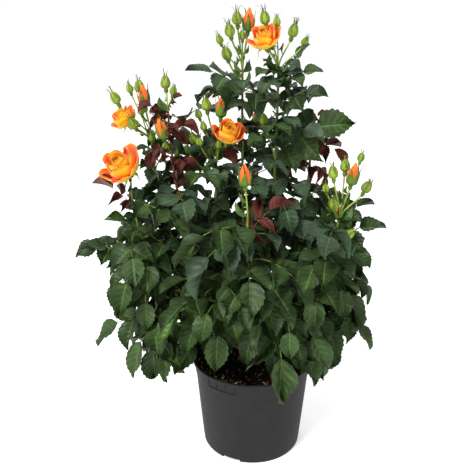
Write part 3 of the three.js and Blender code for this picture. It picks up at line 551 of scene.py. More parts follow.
def new_material(name, **constants):
    """A material with its shader's constant values set, its tree, shader and place on the object."""
    material = bpy.data.materials.new(name)
    material.use_nodes = True
    tree = material.node_tree
    shader = tree.nodes["Principled BSDF"]
    for socket, value in constants.items():
        shader.inputs[socket.replace("_", " ")].default_value = value
    place = tree.nodes.new("ShaderNodeTexCoord").outputs["Object"]
    return material, tree, shader, place


def dress(tree, shader, place, stops, colour_mm, bump_mm, relief_mm, rough, source=None, detail=4.0):
    """Colour from noise of one size, and relief and roughness from noise of another."""
    if source is None:
        scale = per_mm(colour_mm)
        blotch = add_node(tree, "ShaderNodeTexNoise", {"Vector": place, "Scale": scale, "Detail": detail})
        source = blotch.outputs["Fac"]
    ramp = add_node(tree, "ShaderNodeValToRGB", {"Fac": source}, stops=stops)
    tree.links.new(ramp.outputs["Color"], shader.inputs["Base Color"])
    grain = add_node(tree, "ShaderNodeTexNoise", {"Vector": place, "Scale": per_mm(bump_mm), "Detail": 6.0})
    bump = add_node(
        tree, "ShaderNodeBump", {"Height": grain.outputs["Fac"], "Distance": relief_mm * MM, "Strength": 1.0}
    )
    tree.links.new(bump.outputs["Normal"], shader.inputs["Normal"])
    low, high = rough
    worn = add_node(
        tree, "ShaderNodeMapRange",
        {"Value": grain.outputs["Fac"], "From Min": 0.3, "From Max": 0.7, "To Min": low, "To Max": high},
    )
    tree.links.new(worn.outputs["Result"], shader.inputs["Roughness"])


def moulded_polypropylene(value):
    # Injection-moulded polypropylene: a dull satin skin with the mould's fine grain and soft grey blotches.
    material, tree, shader, place = new_material("moulded_polypropylene", IOR=1.49, Specular_IOR_Level=0.2)
    dark, mid, light = shades(value, 0.86, 1.0, 1.14)
    dress(tree, shader, place, [(0.3, dark), (0.5, mid), (0.72, light)], 34, 0.9, 0.12, (0.56, 0.7))
    return material


def damp_peat(value):
    # Damp peat compost: nearly black crumbs that hardly shine.
    material, tree, shader, place = new_material("damp_peat", IOR=1.4, Specular_IOR_Level=0.3)
    dark, mid, light = shades(value, 0.5, 1.0, 2.4)
    dress(tree, shader, place, [(0.32, dark), (0.52, mid), (0.74, light)], 5, 1.6, 1.2, (0.8, 0.98))
    return material


def pine_bark_chips():
    # Composted pine bark: tan to red-brown flakes, dry on top.
    material, tree, shader, place = new_material("pine_bark_chips", IOR=1.45)
    stops = [(0.3, linear("#4a3019")), (0.5, linear("#94683c")), (0.72, linear("#c99c62"))]
    dress(tree, shader, place, stops, 7, 1.2, 0.4, (0.7, 0.92))
    return material


def expanded_perlite():
    # Expanded perlite: pale, foamy grains dulled by peat.
    material, tree, shader, place = new_material("expanded_perlite", IOR=1.5)
    stops = [(0.35, linear("#94805a")), (0.7, linear("#d9c594"))]
    dress(tree, shader, place, stops, 4, 0.8, 0.2, (0.75, 0.95))
    return material


def lignified_bark():
    # Old rose wood: grey-brown bark with fine cracks along the cane and green showing through.
    material, tree, shader, place = new_material("lignified_rose_bark", IOR=1.45, Specular_IOR_Level=0.35)
    stops = [
        (0.3, linear("#2e2a1c")), (0.48, linear("#5a4c33")), (0.62, linear("#6f6340")),
        (0.78, linear("#4f5a30")),
    ]
    dress(tree, shader, place, stops, 9, 1.1, 0.5, (0.6, 0.85), detail=8.0)
    return material


def green_cane_skin(name, first, second, third):
    # Smooth skin of this year's canes: waxy green, flushed where the sun reaches it.
    material, tree, shader, place = new_material(name, IOR=1.42, Coat_Weight=0.12, Coat_Roughness=0.4)
    stops = [(0.32, linear(first)), (0.52, linear(second)), (0.72, linear(third))]
    dress(tree, shader, place, stops, 16, 1.5, 0.12, (0.42, 0.6))
    return material


def leaf_cuticle(name, value, gloss=0.36):
    # Leathery leaf with a thin wax coat: broad soft highlights over a fine net of cells.
    material, tree, shader, place = new_material(
        name, IOR=1.43, Specular_IOR_Level=0.25, Coat_Weight=0.03, Coat_Roughness=0.3
    )
    dark, mid, light = shades(value, 0.66, 1.0, 1.4)
    stops = [(0.34, dark), (0.5, mid), (0.68, light)]
    dress(tree, shader, place, stops, 26, 2.2, 0.25, (gloss, gloss + 0.16))
    return material


def petal_skin(name, stops):
    # Rose petals: velvety cells that scatter light, their colour changing from the foot to the rim.
    material, tree, shader, place = new_material(
        name, IOR=1.4, Specular_IOR_Level=0.3, Sheen_Weight=0.25, Sheen_Roughness=0.5
    )
    along = add_node(tree, "ShaderNodeAttribute", attribute_name="along").outputs["Fac"]
    flush = add_node(tree, "ShaderNodeTexNoise", {"Vector": place, "Scale": per_mm(14), "Detail": 3.0})
    shift = add_node(
        tree, "ShaderNodeMath", {0: flush.outputs["Fac"], 1: 0.34, 2: along}, operation="MULTIPLY_ADD"
    )
    moved = add_node(tree, "ShaderNodeMath", {0: shift.outputs[0], 1: 0.17}, operation="SUBTRACT")
    dress(tree, shader, place, stops, 14, 1.2, 0.12, (0.5, 0.66), source=moved.outputs[0])
    shader.inputs["Subsurface Weight"].default_value = 0.2
    shader.inputs["Subsurface Radius"].default_value = (0.006, 0.003, 0.001)
    return material


def lit_white_acrylic(glow):
    # A lit white acrylic table: matt, and with a glow of its own that takes the grey out of its far end.
    material, tree, shader, place = new_material(
        "lit_white_acrylic", Specular_IOR_Level=0.1, Emission_Color=(1, 1, 1, 1), Emission_Strength=glow
    )
    stops = [(0.3, linear("#f6f6f5")), (0.7, linear("#fbfbfa"))]
    dress(tree, shader, place, stops, 400, 40, 0.05, (0.85, 0.95))
    return material


# ---------------------------------------------------------------- growth, by the rule of the solids


class HeldSpace:
    """What each shoot holds, as points in cells, so that the next leaf is kept clear of it."""

    BITS, MIDDLE = 20, 512  # room for each cell number in a key, and the cell that the origin starts
    NEXT = np.array(list(product((-1, 0, 1), repeat=3)))

    def __init__(self, cell):
        self.cell = cell
        self.cells = {}

    def keys(self, cells):
        return (cells[..., 0] << 2 * self.BITS) + (cells[..., 1] << self.BITS) + cells[..., 2]

    def cell_keys(self, points):
        return self.keys(np.floor(points / self.cell).astype(np.int64) + self.MIDDLE)

    def add(self, points, owner):
        points = np.asarray(points).reshape(-1, 3)
        for key, point in zip(self.cell_keys(points).tolist(), points.tolist()):
            self.cells.setdefault(key, []).append((*point, owner))

    def crowded(self, points, owner, own_gap, other_gap):
        near = np.unique(np.unique(self.cell_keys(points))[:, None] + self.keys(self.NEXT))
        held = [entry for key in near.tolist() for entry in self.cells.get(key, ())]
        if not held:
            return False
        held = np.array(held)
        gap = np.where(held[:, 3] == owner, own_gap, other_gap)
        apart = np.linalg.norm(points[:, None] - held[None, :, :3], axis=2)
        return bool((apart < gap).any())


def clear_of_pot(points):
    """Whether all the points lie above the soil and clear of the pot."""
    radius, z = np.hypot(points[:, 0], points[:, 1]), points[:, 2]
    over_soil = (radius < POT["lip"] - 2 * POT_CLEAR) & (z > SOIL_LEVEL + SOIL_DOME + POT_CLEAR)
    return bool((over_soil | (z > POT["height"] + POT_CLEAR) | (radius > POT["lip"] + POT_CLEAR)).all())


def inside_reach(points, lowest=SOIL_VIEW["height"]):
    """Whether all the points lie inside the crown's outline, above the soil and clear of the pot."""
    x, y, z = points.T
    if z.min() < CROWN_OUTLINE[0, 0] or z.max() >= CROWN_OUTLINE[-1, 0]:
        return False
    left = np.interp(z, CROWN_OUTLINE[:, 0], CROWN_OUTLINE[:, 1])
    right = np.interp(z, CROWN_OUTLINE[:, 0], CROWN_OUTLINE[:, 2])
    wide = np.abs(x) / np.where(x < 0, left, right)
    deep = np.abs(y) / ((left + right) * 0.5 * CROWN_DEPTH)
    if (wide**CROWN_SQUARENESS + deep**CROWN_SQUARENESS > 1).any():
        return False
    facing = np.mod(np.arctan2(y, x), 2 * math.pi) - math.radians(SOIL_VIEW["bearing"])
    if ((np.abs(facing) < math.radians(SOIL_VIEW["spread"])) & (z < lowest)).any():
        return False
    return clear_of_pot(points)


def level_heading(angle):
    return np.array([math.cos(angle), math.sin(angle), 0])


def leaflet(root, along, across, length):
    rib = unit(along)
    side = unit(across - rib * (across @ rib))
    return dict(root=root, rib=rib, side=side, normal=np.cross(rib, side), length=length)


def blade_points(blade):
    """Points over a leaflet's folded blade, close enough together to keep other leaves off it."""
    rows, columns = math.ceil(blade["length"] / SAMPLE_STEP), SAMPLE_COLUMNS
    shares, sides = np.arange(rows + 1) / rows, 2 * np.arange(columns + 1) / columns - 1
    along, across = (grid.ravel() for grid in np.meshgrid(shares, sides, indexing="ij"))
    spread = np.where(along < LEAF["widest"], along / LEAF["widest"], (1 - along) / (1 - LEAF["widest"]))
    length = blade["length"]
    return (
        blade["root"] + np.outer(along * length, blade["rib"])
        + np.outer(across * spread * length * LEAF["width"] * 0.5, blade["side"])
        + np.outer(np.abs(across) * spread * LEAF["fold"] * length, blade["normal"])
    )


def slope(heading, angle):
    """A level heading turned up by an angle."""
    return heading * math.cos(angle) + UP * math.sin(angle)


def compound_leaf(root, heading, pitch, droop, roll, size):
    """Two pairs of leaflets and an end one on a rib that sets off at a pitch and then droops."""
    late = slope(heading, pitch - droop)
    side = turned_about(-np.cross(heading, UP), late, roll)
    bend = root + slope(heading, pitch) * RIB_LENGTHS[0] * size
    end = bend + late * RIB_LENGTHS[1] * size
    rib = bezier(root, bend, end)
    leaflets = []
    for pair, share in enumerate(LEAF["pair_shares"]):
        for hand in (1, -1):
            angle = math.radians(LEAF["pair_angles"][pair])
            along = late * math.cos(angle) + side * hand * math.sin(angle) - UP * LEAF["sag"]
            place = rib(PAIR_PLACES[pair])
            leaflets.append(leaflet(place, along, -late * hand, LEAF["end"] * size * share))
    last = slope(heading, pitch - droop * LEAF["end_droop"])
    leaflets.append(leaflet(end, last, side, LEAF["end"] * size))
    return dict(rib=rib, leaflets=leaflets, size=size)


def leaf_to(root, tip, droop, roll):
    """A compound leaf of a given droop whose end leaflet's tip comes to a given point."""
    level = np.array([tip[0] - root[0], tip[1] - root[1], 0])
    away = (np.linalg.norm(level), tip[2] - root[2])
    angles = (0, droop, droop * LEAF["end_droop"])
    run = sum(np.array([math.cos(a), -math.sin(a)]) * length for a, length in zip(angles, RIB_LENGTHS))
    pitch = math.atan2(away[1], away[0]) - math.atan2(run[1], run[0])
    return compound_leaf(root, unit(level), pitch, droop, roll, math.hypot(*away) / math.hypot(*run))


def grow_spray(shoot, spray, held):
    """A leaf that a cane's row lists, with the leaflets that stay clear of the other shoots and the pot."""
    share, tip, droop, roll = spray[:4]
    made = leaf_to(shoot["run"](share), tip, math.radians(droop), math.radians(roll))
    kept = []
    for blade in made["leaflets"]:
        points = blade_points(blade)
        if clear_of_pot(points) and not held.crowded(points, shoot["seed"], 0, NEIGHBOUR_GAP):
            kept.append(blade)
    ribs = points_along(made["rib"], SAMPLE_STEP)[1:]
    points = np.concatenate([blade_points(blade) for blade in kept] + [ribs])
    return dict(made, leaflets=kept, kept=len(kept), points=points, young=spray[4:] == (True,))


def height_share(z):
    """How far up the bush a leaf's foot is, from the low leaves at 0 to the top ones at 1."""
    return min(max((z - LEAF["low_height"]) / (LEAF["top_height"] - LEAF["low_height"]), 0), 1)


def flower_axis(flower, fork):
    """Where a flower faces: as its row says, or on from its fork and a little up."""
    if flower["facing"]:
        return unit(flower["facing"])
    return unit(unit(np.array(flower["at"]) - fork) + (0, 0, 0.4))


def flower_base(flower, fork):
    kind = flower["kind"]
    back = flower["radius"] * BLOOM_DEPTH if kind == "bloom" else BUD_SIZES[kind][1] * 0.5
    return np.array(flower["at"], float) - flower_axis(flower, fork) * back


def stalk_run(flower, fork, heading):
    base, axis = flower_base(flower, fork), flower_axis(flower, fork)
    span = np.linalg.norm(base - fork) * STALK_BEND
    start, end = fork - heading * STALK_IN_CANE, base + axis * STALK_IN_FLOWER
    return bezier(start, fork + heading * span, base - axis * span, end)


def flower_ball(flower):
    """Points of the ball that a flower holds."""
    u, v = np.meshgrid(np.linspace(0, 2 * math.pi, 17), np.linspace(0, math.pi, 11))
    ball = np.stack([-np.cos(u) * np.sin(v), np.cos(v), np.sin(u) * np.sin(v)], -1).reshape(-1, 3)
    return ball * flower["radius"] + flower["at"]


def cane_run(foot, tier, tip, shoulder):
    """A cane from the crown to its tip: it leans out more the further out its tip lies."""
    girth = TIERS[tier]
    bearing = math.radians(foot)
    out = np.array([math.cos(bearing), math.sin(bearing), 0])
    root = out * girth["radius"] + UP * (CROWN_FOOT + CROWN["height"] * girth["height"])
    tip = np.array(tip, float)
    turn = np.append(lerp(root[:2], tip[:2], shoulder[0]), lerp(root[2], tip[2], shoulder[1]))
    lean = min(max(math.hypot(*tip[:2]) / CANE["lean_over"], CANE["least_lean"]), 1)
    rise = root + (out * lean + UP * (CANE["upright"] - lean * CANE["tilt"])) * CANE["foot_length"]
    return bezier(root, rise, turn, tip)


def nearest(point, bones):
    return np.linalg.norm(bones - point, axis=1).min()


def leaf_root(shoot, index):
    low, high = LEAFY_SHARES
    return shoot["run"](lerp(shoot["neck"] + low, high, (LEAFY_MARGIN + index * GOLDEN_SHARE) % 1))


def grow_leaf(shoot, index, others, held, gaps, slack, shrinkage=1.0, turns=LEAF_TURNS):
    """The leaf at one place on a shoot, turned so that most of its leaflets fit, or nothing."""
    random = seeded(shoot["seed"] * 1000 + index)
    lift, fall, twist, wander, growth = (random() for _ in range(5))
    root = leaf_root(shoot, index)
    outward = unit((root[0], root[1], 0))
    height = height_share(root[2])
    pitch = math.radians(lerp(*LEAF["pitch"], lift) + LEAF["top_pitch"] * height)
    droop = math.radians(lerp(*LEAF["droop"], fall) + LEAF["top_droop"] * height)
    owner = shoot["seed"]
    own_gap, other_gap = gaps
    lowest = SOIL_VIEW["height"] + (0 if others else SOIL_VIEW["finer"])  # in front, where the soil shows

    def fits(blade):
        tip = blade["root"] + blade["rib"] * blade["length"]
        own = nearest(tip, shoot["bones"]) - slack
        points = blade_points(blade)
        return (
            inside_reach(points, lowest) and all(nearest(tip, other["bones"]) > own for other in others)
            and not held.crowded(points, owner, own_gap, other_gap)
        )

    best = None
    for turn in range(turns):
        turned = index * GOLDEN_ANGLE + shoot["foot"] + turn * TURN_STEP
        angle = math.radians(turned + (wander - 0.5) * LEAF["spread"])
        heading = unit(level_heading(angle) + outward * lerp(*LEAF["outward"], height))
        shrink = shrinkage * (1 if turn < turns / 2 else LEAF["young_size"])
        size = lerp(LEAF["low_size"], LEAF["top_size"], height) * lerp(*LEAF["growth"], growth) * shrink
        made = compound_leaf(root, heading, pitch, droop, (twist - 0.5) * LEAF["roll"], size)
        ribs = points_along(made["rib"], SAMPLE_STEP)[1:]
        if not inside_reach(ribs) or held.crowded(ribs, owner, 0, other_gap):
            continue
        leaflets = [blade if fits(blade) else None for blade in made["leaflets"]]
        kept = [blade for blade in leaflets if blade]
        if not leaflets[-1] or len(kept) <= (best["kept"] if best else LEAF["fewest"] - 1):
            continue
        points = np.concatenate([blade_points(blade) for blade in kept] + [ribs])
        best = dict(made, leaflets=kept, kept=len(kept), points=points, by_rule=True)
        if len(kept) == LEAF["count"]:
            break
    return best


def grow_side_twig(shoot, index, held, fill):
    """A finer twig from the leafy stem below the fill height, for small leaves of three or five leaflets."""
    random = seeded(shoot["seed"] * 7000 + index)
    share = (TWIG["margin"] + index * GOLDEN_SHARE) % 1
    root = shoot["run"](lerp(shoot["neck"] + TWIG["low"], TWIG["high"], share))
    if root[2] > fill:
        return None
    height = height_share(root[2])
    outward = unit((root[0], root[1], 0))
    for turn in range(TWIG["turns"]):
        turned = index * GOLDEN_ANGLE + shoot["foot"] + turn * TWIG["turn_step"] + TWIG["first_turn"]
        angle = math.radians(turned)
        heading = unit(level_heading(angle) + outward * lerp(*TWIG["outward"], height))
        reach = lerp(*TWIG["reach"], random())
        bend = root + heading * reach * 0.5 + UP * reach * 0.1
        run = bezier(root, bend, root + heading * reach + UP * reach * TWIG["rise"])
        points = points_along(run, SAMPLE_STEP)[2:]
        if inside_reach(points) and not held.crowded(points, shoot["seed"], 0, TWIG["gap"]):
            return dict(
                run=run, seed=shoot["seed"] * 40 + index, foot=math.degrees(angle), neck=TWIG["bare"],
                bones=points_along(run, BONE_STEP), points=points, grown=[],
            )
    return None


def planned_shoots():
    """Every cane with its run, its bones and its flowers on their stalks, before any leaf grows."""
    shoots = []
    for number, (name, foot, tier, tip, shoulder, neck, leaves, flowers, sprays) in enumerate(CANES, 1):
        run = cane_run(foot, tier, tip, shoulder)
        start = neck + CLEARANCE * 1.5 / length_of(run)
        shoot = dict(name=name, seed=number, foot=foot, tier=tier, neck=neck, leaves=leaves, run=run)
        shoot.update(sprays=sprays, grown=[], flowers=[], twigs=[])
        fine = [dict(bud(at, share), kind="young") for cane, at, share in FINE_BUDS if cane == name]
        for flower in (*flowers, *fine):
            share = lerp(start, 1, flower["share"])
            fork, heading = run(share), heading_at(run, share)
            shoot["flowers"].append(dict(
                flower, base=flower_base(flower, fork), axis=flower_axis(flower, fork),
                stalk=stalk_run(flower, fork, heading),
            ))
        shoot["stem"] = stretch(run, start, 1)
        shoot["bones"] = points_along(shoot["stem"], BONE_STEP)
        shoots.append(shoot)
    return shoots


def hold_stems(shoots, held):
    for shoot in shoots:
        held.add(points_along(stretch(shoot["run"], 0, shoot["neck"]), STEM_STEP), 0)
        held.add(points_along(shoot["stem"], STEM_STEP), shoot["seed"])
        for flower in shoot["flowers"]:
            if flower["kind"] != "young":
                held.add(points_along(flower["stalk"], STEM_STEP), shoot["seed"])
                held.add(flower_ball(flower), shoot["seed"])


def keep_leaf(shoot, made, held):
    shoot["grown"].append(made)
    held.add(made["points"], shoot["seed"])


def grow_solids_leaves(shoots, held):
    """The leaves of the solids: the listed ones, then those of the rule, the low canes first."""
    for shoot in shoots:
        for spray in shoot["sprays"]:
            keep_leaf(shoot, grow_spray(shoot, spray, held), held)
        shoot["blades"] = sum(made["kept"] for made in shoot["grown"])
    for tier in reversed(range(len(TIERS))):
        for place in range(LEAF_PLACES):
            for shoot in shoots:
                if shoot["tier"] != tier or shoot["blades"] >= shoot["leaves"] * LEAF["count"]:
                    continue
                others = [other for other in shoots if other is not shoot]
                made = grow_leaf(shoot, place, others, held, (OWN_GAP, NEIGHBOUR_GAP), SPACE_SLACK)
                if made:
                    shoot["blades"] += made["kept"]
                    keep_leaf(shoot, made, held)


def grow_twigs(shoot, held, count, fill):
    """Side twigs with small leaves, then the small leaves that the cane's own rows ask for."""
    for index in range(count):
        twig = grow_side_twig(shoot, index, held, fill)
        if not twig:
            continue
        for place in range(TWIG["leaves"]):
            made = grow_leaf(twig, place, [], held, FINE_GAPS, 0, TWIG_LEAF_SIZE, FINE_TURNS)
            if made:
                twig["grown"].append(made)
                held.add(made["points"], shoot["seed"])
        if twig["grown"]:
            held.add(twig["points"], shoot["seed"])
            shoot["twigs"].append(twig)
    for spray in FINE_SPRAYS.get(shoot["name"], ()):
        keep_leaf(shoot, grow_spray(shoot, spray, held), held)


@lru_cache(maxsize=1)
def grown_shoots(twigs, fill, extra, upper):
    """Every cane with its stalks and leaves: first those of the solids, then the finer ones."""
    shoots, held = planned_shoots(), HeldSpace(HELD_CELL)
    hold_stems(shoots, held)
    grow_solids_leaves(shoots, held)
    for shoot in shoots:
        grow_twigs(shoot, held, twigs, fill)
    for place in range(LEAF_PLACES, LEAF_PLACES + extra):
        for shoot in shoots:
            x, _, z = leaf_root(shoot, place)
            above = z > fill
            open_here = x > OPEN_RIGHT or (x < OPEN_LEFT[0] and z > OPEN_LEFT[1])
            if above and (open_here or place >= LEAF_PLACES + upper):
                continue
            size = FINE_TOP_SIZE if above else FINE_LOW_SIZE
            made = grow_leaf(shoot, place, [], held, FINE_GAPS, 0, size, FINE_TURNS)
            if made:
                keep_leaf(shoot, made, held)
    for shoot in shoots:
        if shoot["name"] in YOUNG_CANES:
            shoot["grown"] += unfolding_tip(shoot)
    return shoots


def shoots_as_set(context):
    """The grown canes for the settings of the scene, grown again only where those have changed."""
    s = context.scene.rose_leaves
    return grown_shoots(s.twigs, s.fill / MM, s.extra, s.upper)


def unfolding_tip(shoot):
    """The small copper leaves that stand folded about the end of a shoot still in growth."""
    for index in range(TIP_LEAVES):
        heading = level_heading(math.radians(index * GOLDEN_ANGLE))
        root = shoot["run"](1 - 0.02 * index)
        pitch, droop = math.radians(78 - 9 * index), math.radians(30 + 12 * index)
        yield dict(compound_leaf(root, heading, pitch, droop, 0, 0.24 + 0.05 * index), young=True)


# ---------------------------------------------------------------- leaves

BLADE_STEPS = 21  # three steps to each pair of side veins
BLADE_COLUMNS = np.array([-1.0, -0.62, -0.3, -0.035, 0.035, 0.3, 0.62, 1.0])
QUILT = np.array([0.024, -0.022, 0.004])  # how the blade rises and falls from one side vein to the next
GREENS = ("deep", "middle", "fresh", "sky_sheen", "maroon")
# Painted highlight on the quilted bands between the side veins: the lit slopes take a paler copy of the
# leaf's green.
HIGHLIGHT_TINT = (1.5, 1.34, 1.1, 1)  # tint between the side veins, as shares of the leaf's own red, green and blue
FRESH, MAROON, VEIN, MAROON_VEIN = 2, 4, 10, 11
# Up to each limit a draw picks that green: first for the leaves below the height of the painted sky
# reflection, then for those above, where the greyer green stands for the sky's sheen on them.
LOW_GREENS, HIGH_GREENS, SKY_SHEEN_FROM = ((0, 0.4), (1, 0.9), (2, 1.0)), ((0, 0.26), (3, 0.8), (1, 1.0)), 440
# Above this height the leaflets turn level, over this rise and by up to this share.
LEVEL_FROM, LEVEL_OVER, MOST_LEVEL = 380, 150, 0.85
LISTED_LEVEL = 0.2  # for the leaves that a cane's row lists
BLADE_ROLL, BLADE_TWIST = 0.8, 0.9
BLADE_WIDTH, BROAD_WIDTH = 0.66, 0.84  # of its length, and for the long leaves at the top
BROAD = 58  # leaflets longer than this are narrower for their length
YOUNG_BLADE = dict(width=0.46, fold=0.34, curl=0.34)
BRACT_BLADE = dict(width=0.42, fold=0.2, curl=0.3)
BRACTS = ((0.03, 26), (0.45, 15))  # place on the flower's stalk, and length
STALK_GIRTHS = np.array([1.5, 1.0, 0.8])


def blade_width(share):
    """Outline of a leaflet's half, from 0 at its foot through 1 to 0 at its drawn-out tip."""
    share = np.minimum(share, 1)
    return np.sin(math.pi * share**0.74) ** (0.6 + 1.1 * share**2)


def levelled(blade, level):
    """A leaflet's two cross directions, its side turned the given share of the way to level."""
    flat = np.cross(UP, blade["rib"])
    flat = unit(flat) if np.linalg.norm(flat) > 0.2 else blade["side"]
    flat = flat if flat @ blade["side"] > 0 else -flat
    side = unit(lerp(blade["side"], flat, level))
    return side, np.cross(blade["rib"], side)


def add_blade(skin, blade, draw, finish, width, fold=0.17, curl=0.14, level=0.0):
    """A leaflet with a toothed edge, quilted between its side veins, folded and curling at the tip."""
    length = blade["length"]
    width *= min(1, BROAD / length) ** 0.7
    share = np.linspace(0, 1, BLADE_STEPS + 1)[:, None]
    across = BLADE_COLUMNS[None, :]
    edge = np.abs(across)
    row = np.arange(BLADE_STEPS + 1)[:, None]
    tooth = np.where(row % 2, 0.07, -0.05) * (edge > 0.9)
    forward = 0.26 * edge * np.sin(math.pi * share)
    spread = blade_width(share + forward) * (1 + tooth) * width * 0.5 * length
    ahead = (share + forward + 0.02 * (tooth > 0)) * length
    bend = curl * (0.5 + 1.1 * draw()) * share**2
    crease = fold * (0.5 + 1.1 * draw()) * edge * blade_width(share)
    quilt = QUILT[row % 3] * (edge > 0.2) * (edge < 0.9)
    phase, wave = draw() * ANY_TURN, (0.03 + 0.045 * draw()) * (1 + 2 * level)
    ripple = wave * edge**2 * np.sin(share * 8 + phase + across * 1.5)
    lift = (crease + quilt + ripple * blade_width(share) - bend - 0.01 * (edge < 0.1)) * length
    roll = ((draw() - 0.5) * BLADE_ROLL + (draw() - 0.5) * BLADE_TWIST * share) * (1 - 0.6 * level)
    flat, rise = levelled(blade, level)
    side = np.cos(roll)[..., None] * flat + np.sin(roll)[..., None] * rise
    normal = np.cos(roll)[..., None] * rise - np.sin(roll)[..., None] * flat
    points = blade["root"] + ahead[..., None] * blade["rib"]
    points = points + (across * spread)[..., None] * side + lift[..., None] * normal
    columns = len(BLADE_COLUMNS)
    triangles = grid_triangles(BLADE_STEPS + 1, columns)
    column = np.tile(np.repeat(np.arange(columns - 1), 2), BLADE_STEPS)
    band = np.repeat(np.arange(BLADE_STEPS), 2 * (columns - 1))
    middle = columns // 2 - 1
    # Painted highlight: one band in every three rows of the quilting, the slope up to each crest, takes the
    # paler copy of the leaf's green.
    highlight_band = (band % 3 == 2) & (column > 0) & (column < columns - 2)
    vein = MAROON_VEIN if finish == MAROON else VEIN
    finishes = np.where(column == middle, vein, finish + highlight_band * len(GREENS))
    skin.add(points, triangles, finishes)


def leaf_finish(height, draw):
    """The finish of one spray: older and deeper low down, greyer at the top, where the grey is a painted
    reflection of the sky.
    """
    pick = draw()
    greens = LOW_GREENS if height < SKY_SHEEN_FROM else HIGH_GREENS
    return next(green for green, limit in greens if pick <= limit)


def leaf_materials(settings):
    """The greens, then the paler copy of each, a painted highlight on the quilted bands between its side
    veins, then the two midribs.
    """
    values = {name: opaque(getattr(settings, name)) for name in GREENS}
    for name in GREENS:
        values[f"{name}_raised"] = tuple(c * f for c, f in zip(values[name], HIGHLIGHT_TINT))
    values["vein"] = linear("#56733a")
    values["maroon_vein"] = linear("#74402f")
    return [leaf_cuticle(f"rose_leaf_{name}", value) for name, value in values.items()]


# ---------------------------------------------------------------- operators

LABEL = dict(bearings=(224, 254), low=158, high=174.5, ribs=4, sunk=0.35)  # the moulded frame on the collar
SOIL_RINGS, SOIL_SEGMENTS = 30, 120
# Loose bits on the soil: seed, sizes of peat crumbs and of the dry bits, the share of dry ones at the crown
# and what the wall adds, and the bark's share of those.
GRAINS = dict(seed=11, crumb=(1.0, 3.4), dry=(0.8, 2.8), least_dry=0.1, most_dry=0.6, bark=0.7)
CROWN_ROWS, CROWN_SIDES = 26, 48
KNOTS, KNOT_WIDTH, KNOT_RISE = 9, 0.008, 0.16  # swellings along a cane, as shares of its length and girth
PRICKLE_GIRTHS = (1.5, 0.8, 0.12)
COLLAR_FOOT, UNDER_LIP = POT["height"] - POT["collar"], POT["height"] - POT["lip_height"]
COLLAR_WALL = (  # radius and height of the collar's slope, from under it to the lip's underside
    (POT["body"] + 0.3, COLLAR_FOOT - 1), (POT["body"] + 1.4, COLLAR_FOOT + 3),
    (POT["lip"] - 4.6, COLLAR_FOOT + 16), (POT["lip"] - 3, UNDER_LIP - 1),
)


class ROSE_OT_pot(Operator):
    """Build the moulded nursery pot with its collar, lip and drain notches."""

    bl_idname = "rose.pot"
    bl_label = "Pot"

    def execute(self, context):
        s = context.scene.rose_pot
        p = POT
        collar, under, top = COLLAR_FOOT, UNDER_LIP, p["height"]
        profile = [
            (0.01, 0), (p["foot"] - 12, 0), (p["foot"] - 4, 0), (p["foot"] - 1.2, 0.8), (p["foot"], 3),
            (p["foot"] + 1, 12), (lerp(p["foot"], p["body"], 0.5), collar / 2), (p["body"] - 0.6, collar - 6),
            *COLLAR_WALL, (p["lip"] - 2.2, under), (p["lip"], under + 0.6), (p["lip"], top - 1.2),
            (p["lip"] - 0.6, top - 0.2), (p["lip"] - 1.6, top), (p["lip"] - 3.2, top),
            (p["lip"] - 4, top - 1), (p["lip"] - 5.4, under), (p["body"] - p["wall"], collar),
            (p["foot"] - p["wall"], p["floor"] + 2), (p["foot"] - p["wall"] - 3, p["floor"]),
            (0.01, p["floor"]),
        ]
        points = turned_points(profile, s.segments)
        skin = Skin()
        skin.add(points, grid_triangles(len(profile), s.segments, closed=True))
        self.add_label_frame(skin, s.rib / MM)
        plastic = moulded_polypropylene(opaque(s.plastic))
        pot = make_piece("nursery_pot", skin.parts, [plastic], ["pot"])
        cutters = []
        for i in range(p["notches"]):
            bearing = math.radians(p["notch_bearing"] + i * 360 / p["notches"])
            bpy.ops.mesh.primitive_cube_add(size=1)
            cutter = context.object
            cutter.scale = (p["notch_depth"] * MM, p["notch_width"] * MM, p["notch_height"] * 2 * MM)
            reach = (p["foot"] - p["notch_depth"] / 2 + 2) * MM
            cutter.location = (reach * math.cos(bearing), reach * math.sin(bearing), 0)
            cutter.rotation_euler = (0, 0, bearing)
            cutters.append(cutter)
            cut = pot.modifiers.new(f"notch_{i}", "BOOLEAN")
            cut.operation, cut.solver, cut.object = "DIFFERENCE", "EXACT", cutter
        dressed = pot.evaluated_get(context.evaluated_depsgraph_get())
        mesh = bpy.data.meshes.new_from_object(dressed)
        pot.modifiers.clear()
        pot.data = mesh
        for cutter in cutters:
            bpy.data.objects.remove(cutter)
        return {"FINISHED"}

    @staticmethod
    def add_label_frame(skin, rib):
        """A low moulded edge on the collar with upright ribs over it, for a label to stand in."""
        wall_radii, wall_heights = zip(*COLLAR_WALL)
        low, high = LABEL["low"], LABEL["high"]

        def on_wall(bearing, z):
            out = np.interp(z, wall_heights, wall_radii) + rib * LABEL["sunk"]
            return np.stack([out * np.cos(bearing), out * np.sin(bearing), z + 0 * bearing], -1)

        def edge(t):
            return on_wall(np.radians(lerp(*LABEL["bearings"], t)), np.full_like(np.asarray(t, float), low))

        tube(skin, edge, (rib, rib), 6, 24)
        for share in np.linspace(0, 1, LABEL["ribs"]):
            bearing = np.radians(lerp(*LABEL["bearings"], share))

            def upright(t, bearing=bearing):
                return on_wall(bearing, lerp(low, high, np.asarray(t, float)))

            tube(skin, upright, (rib, rib), 6, 8)


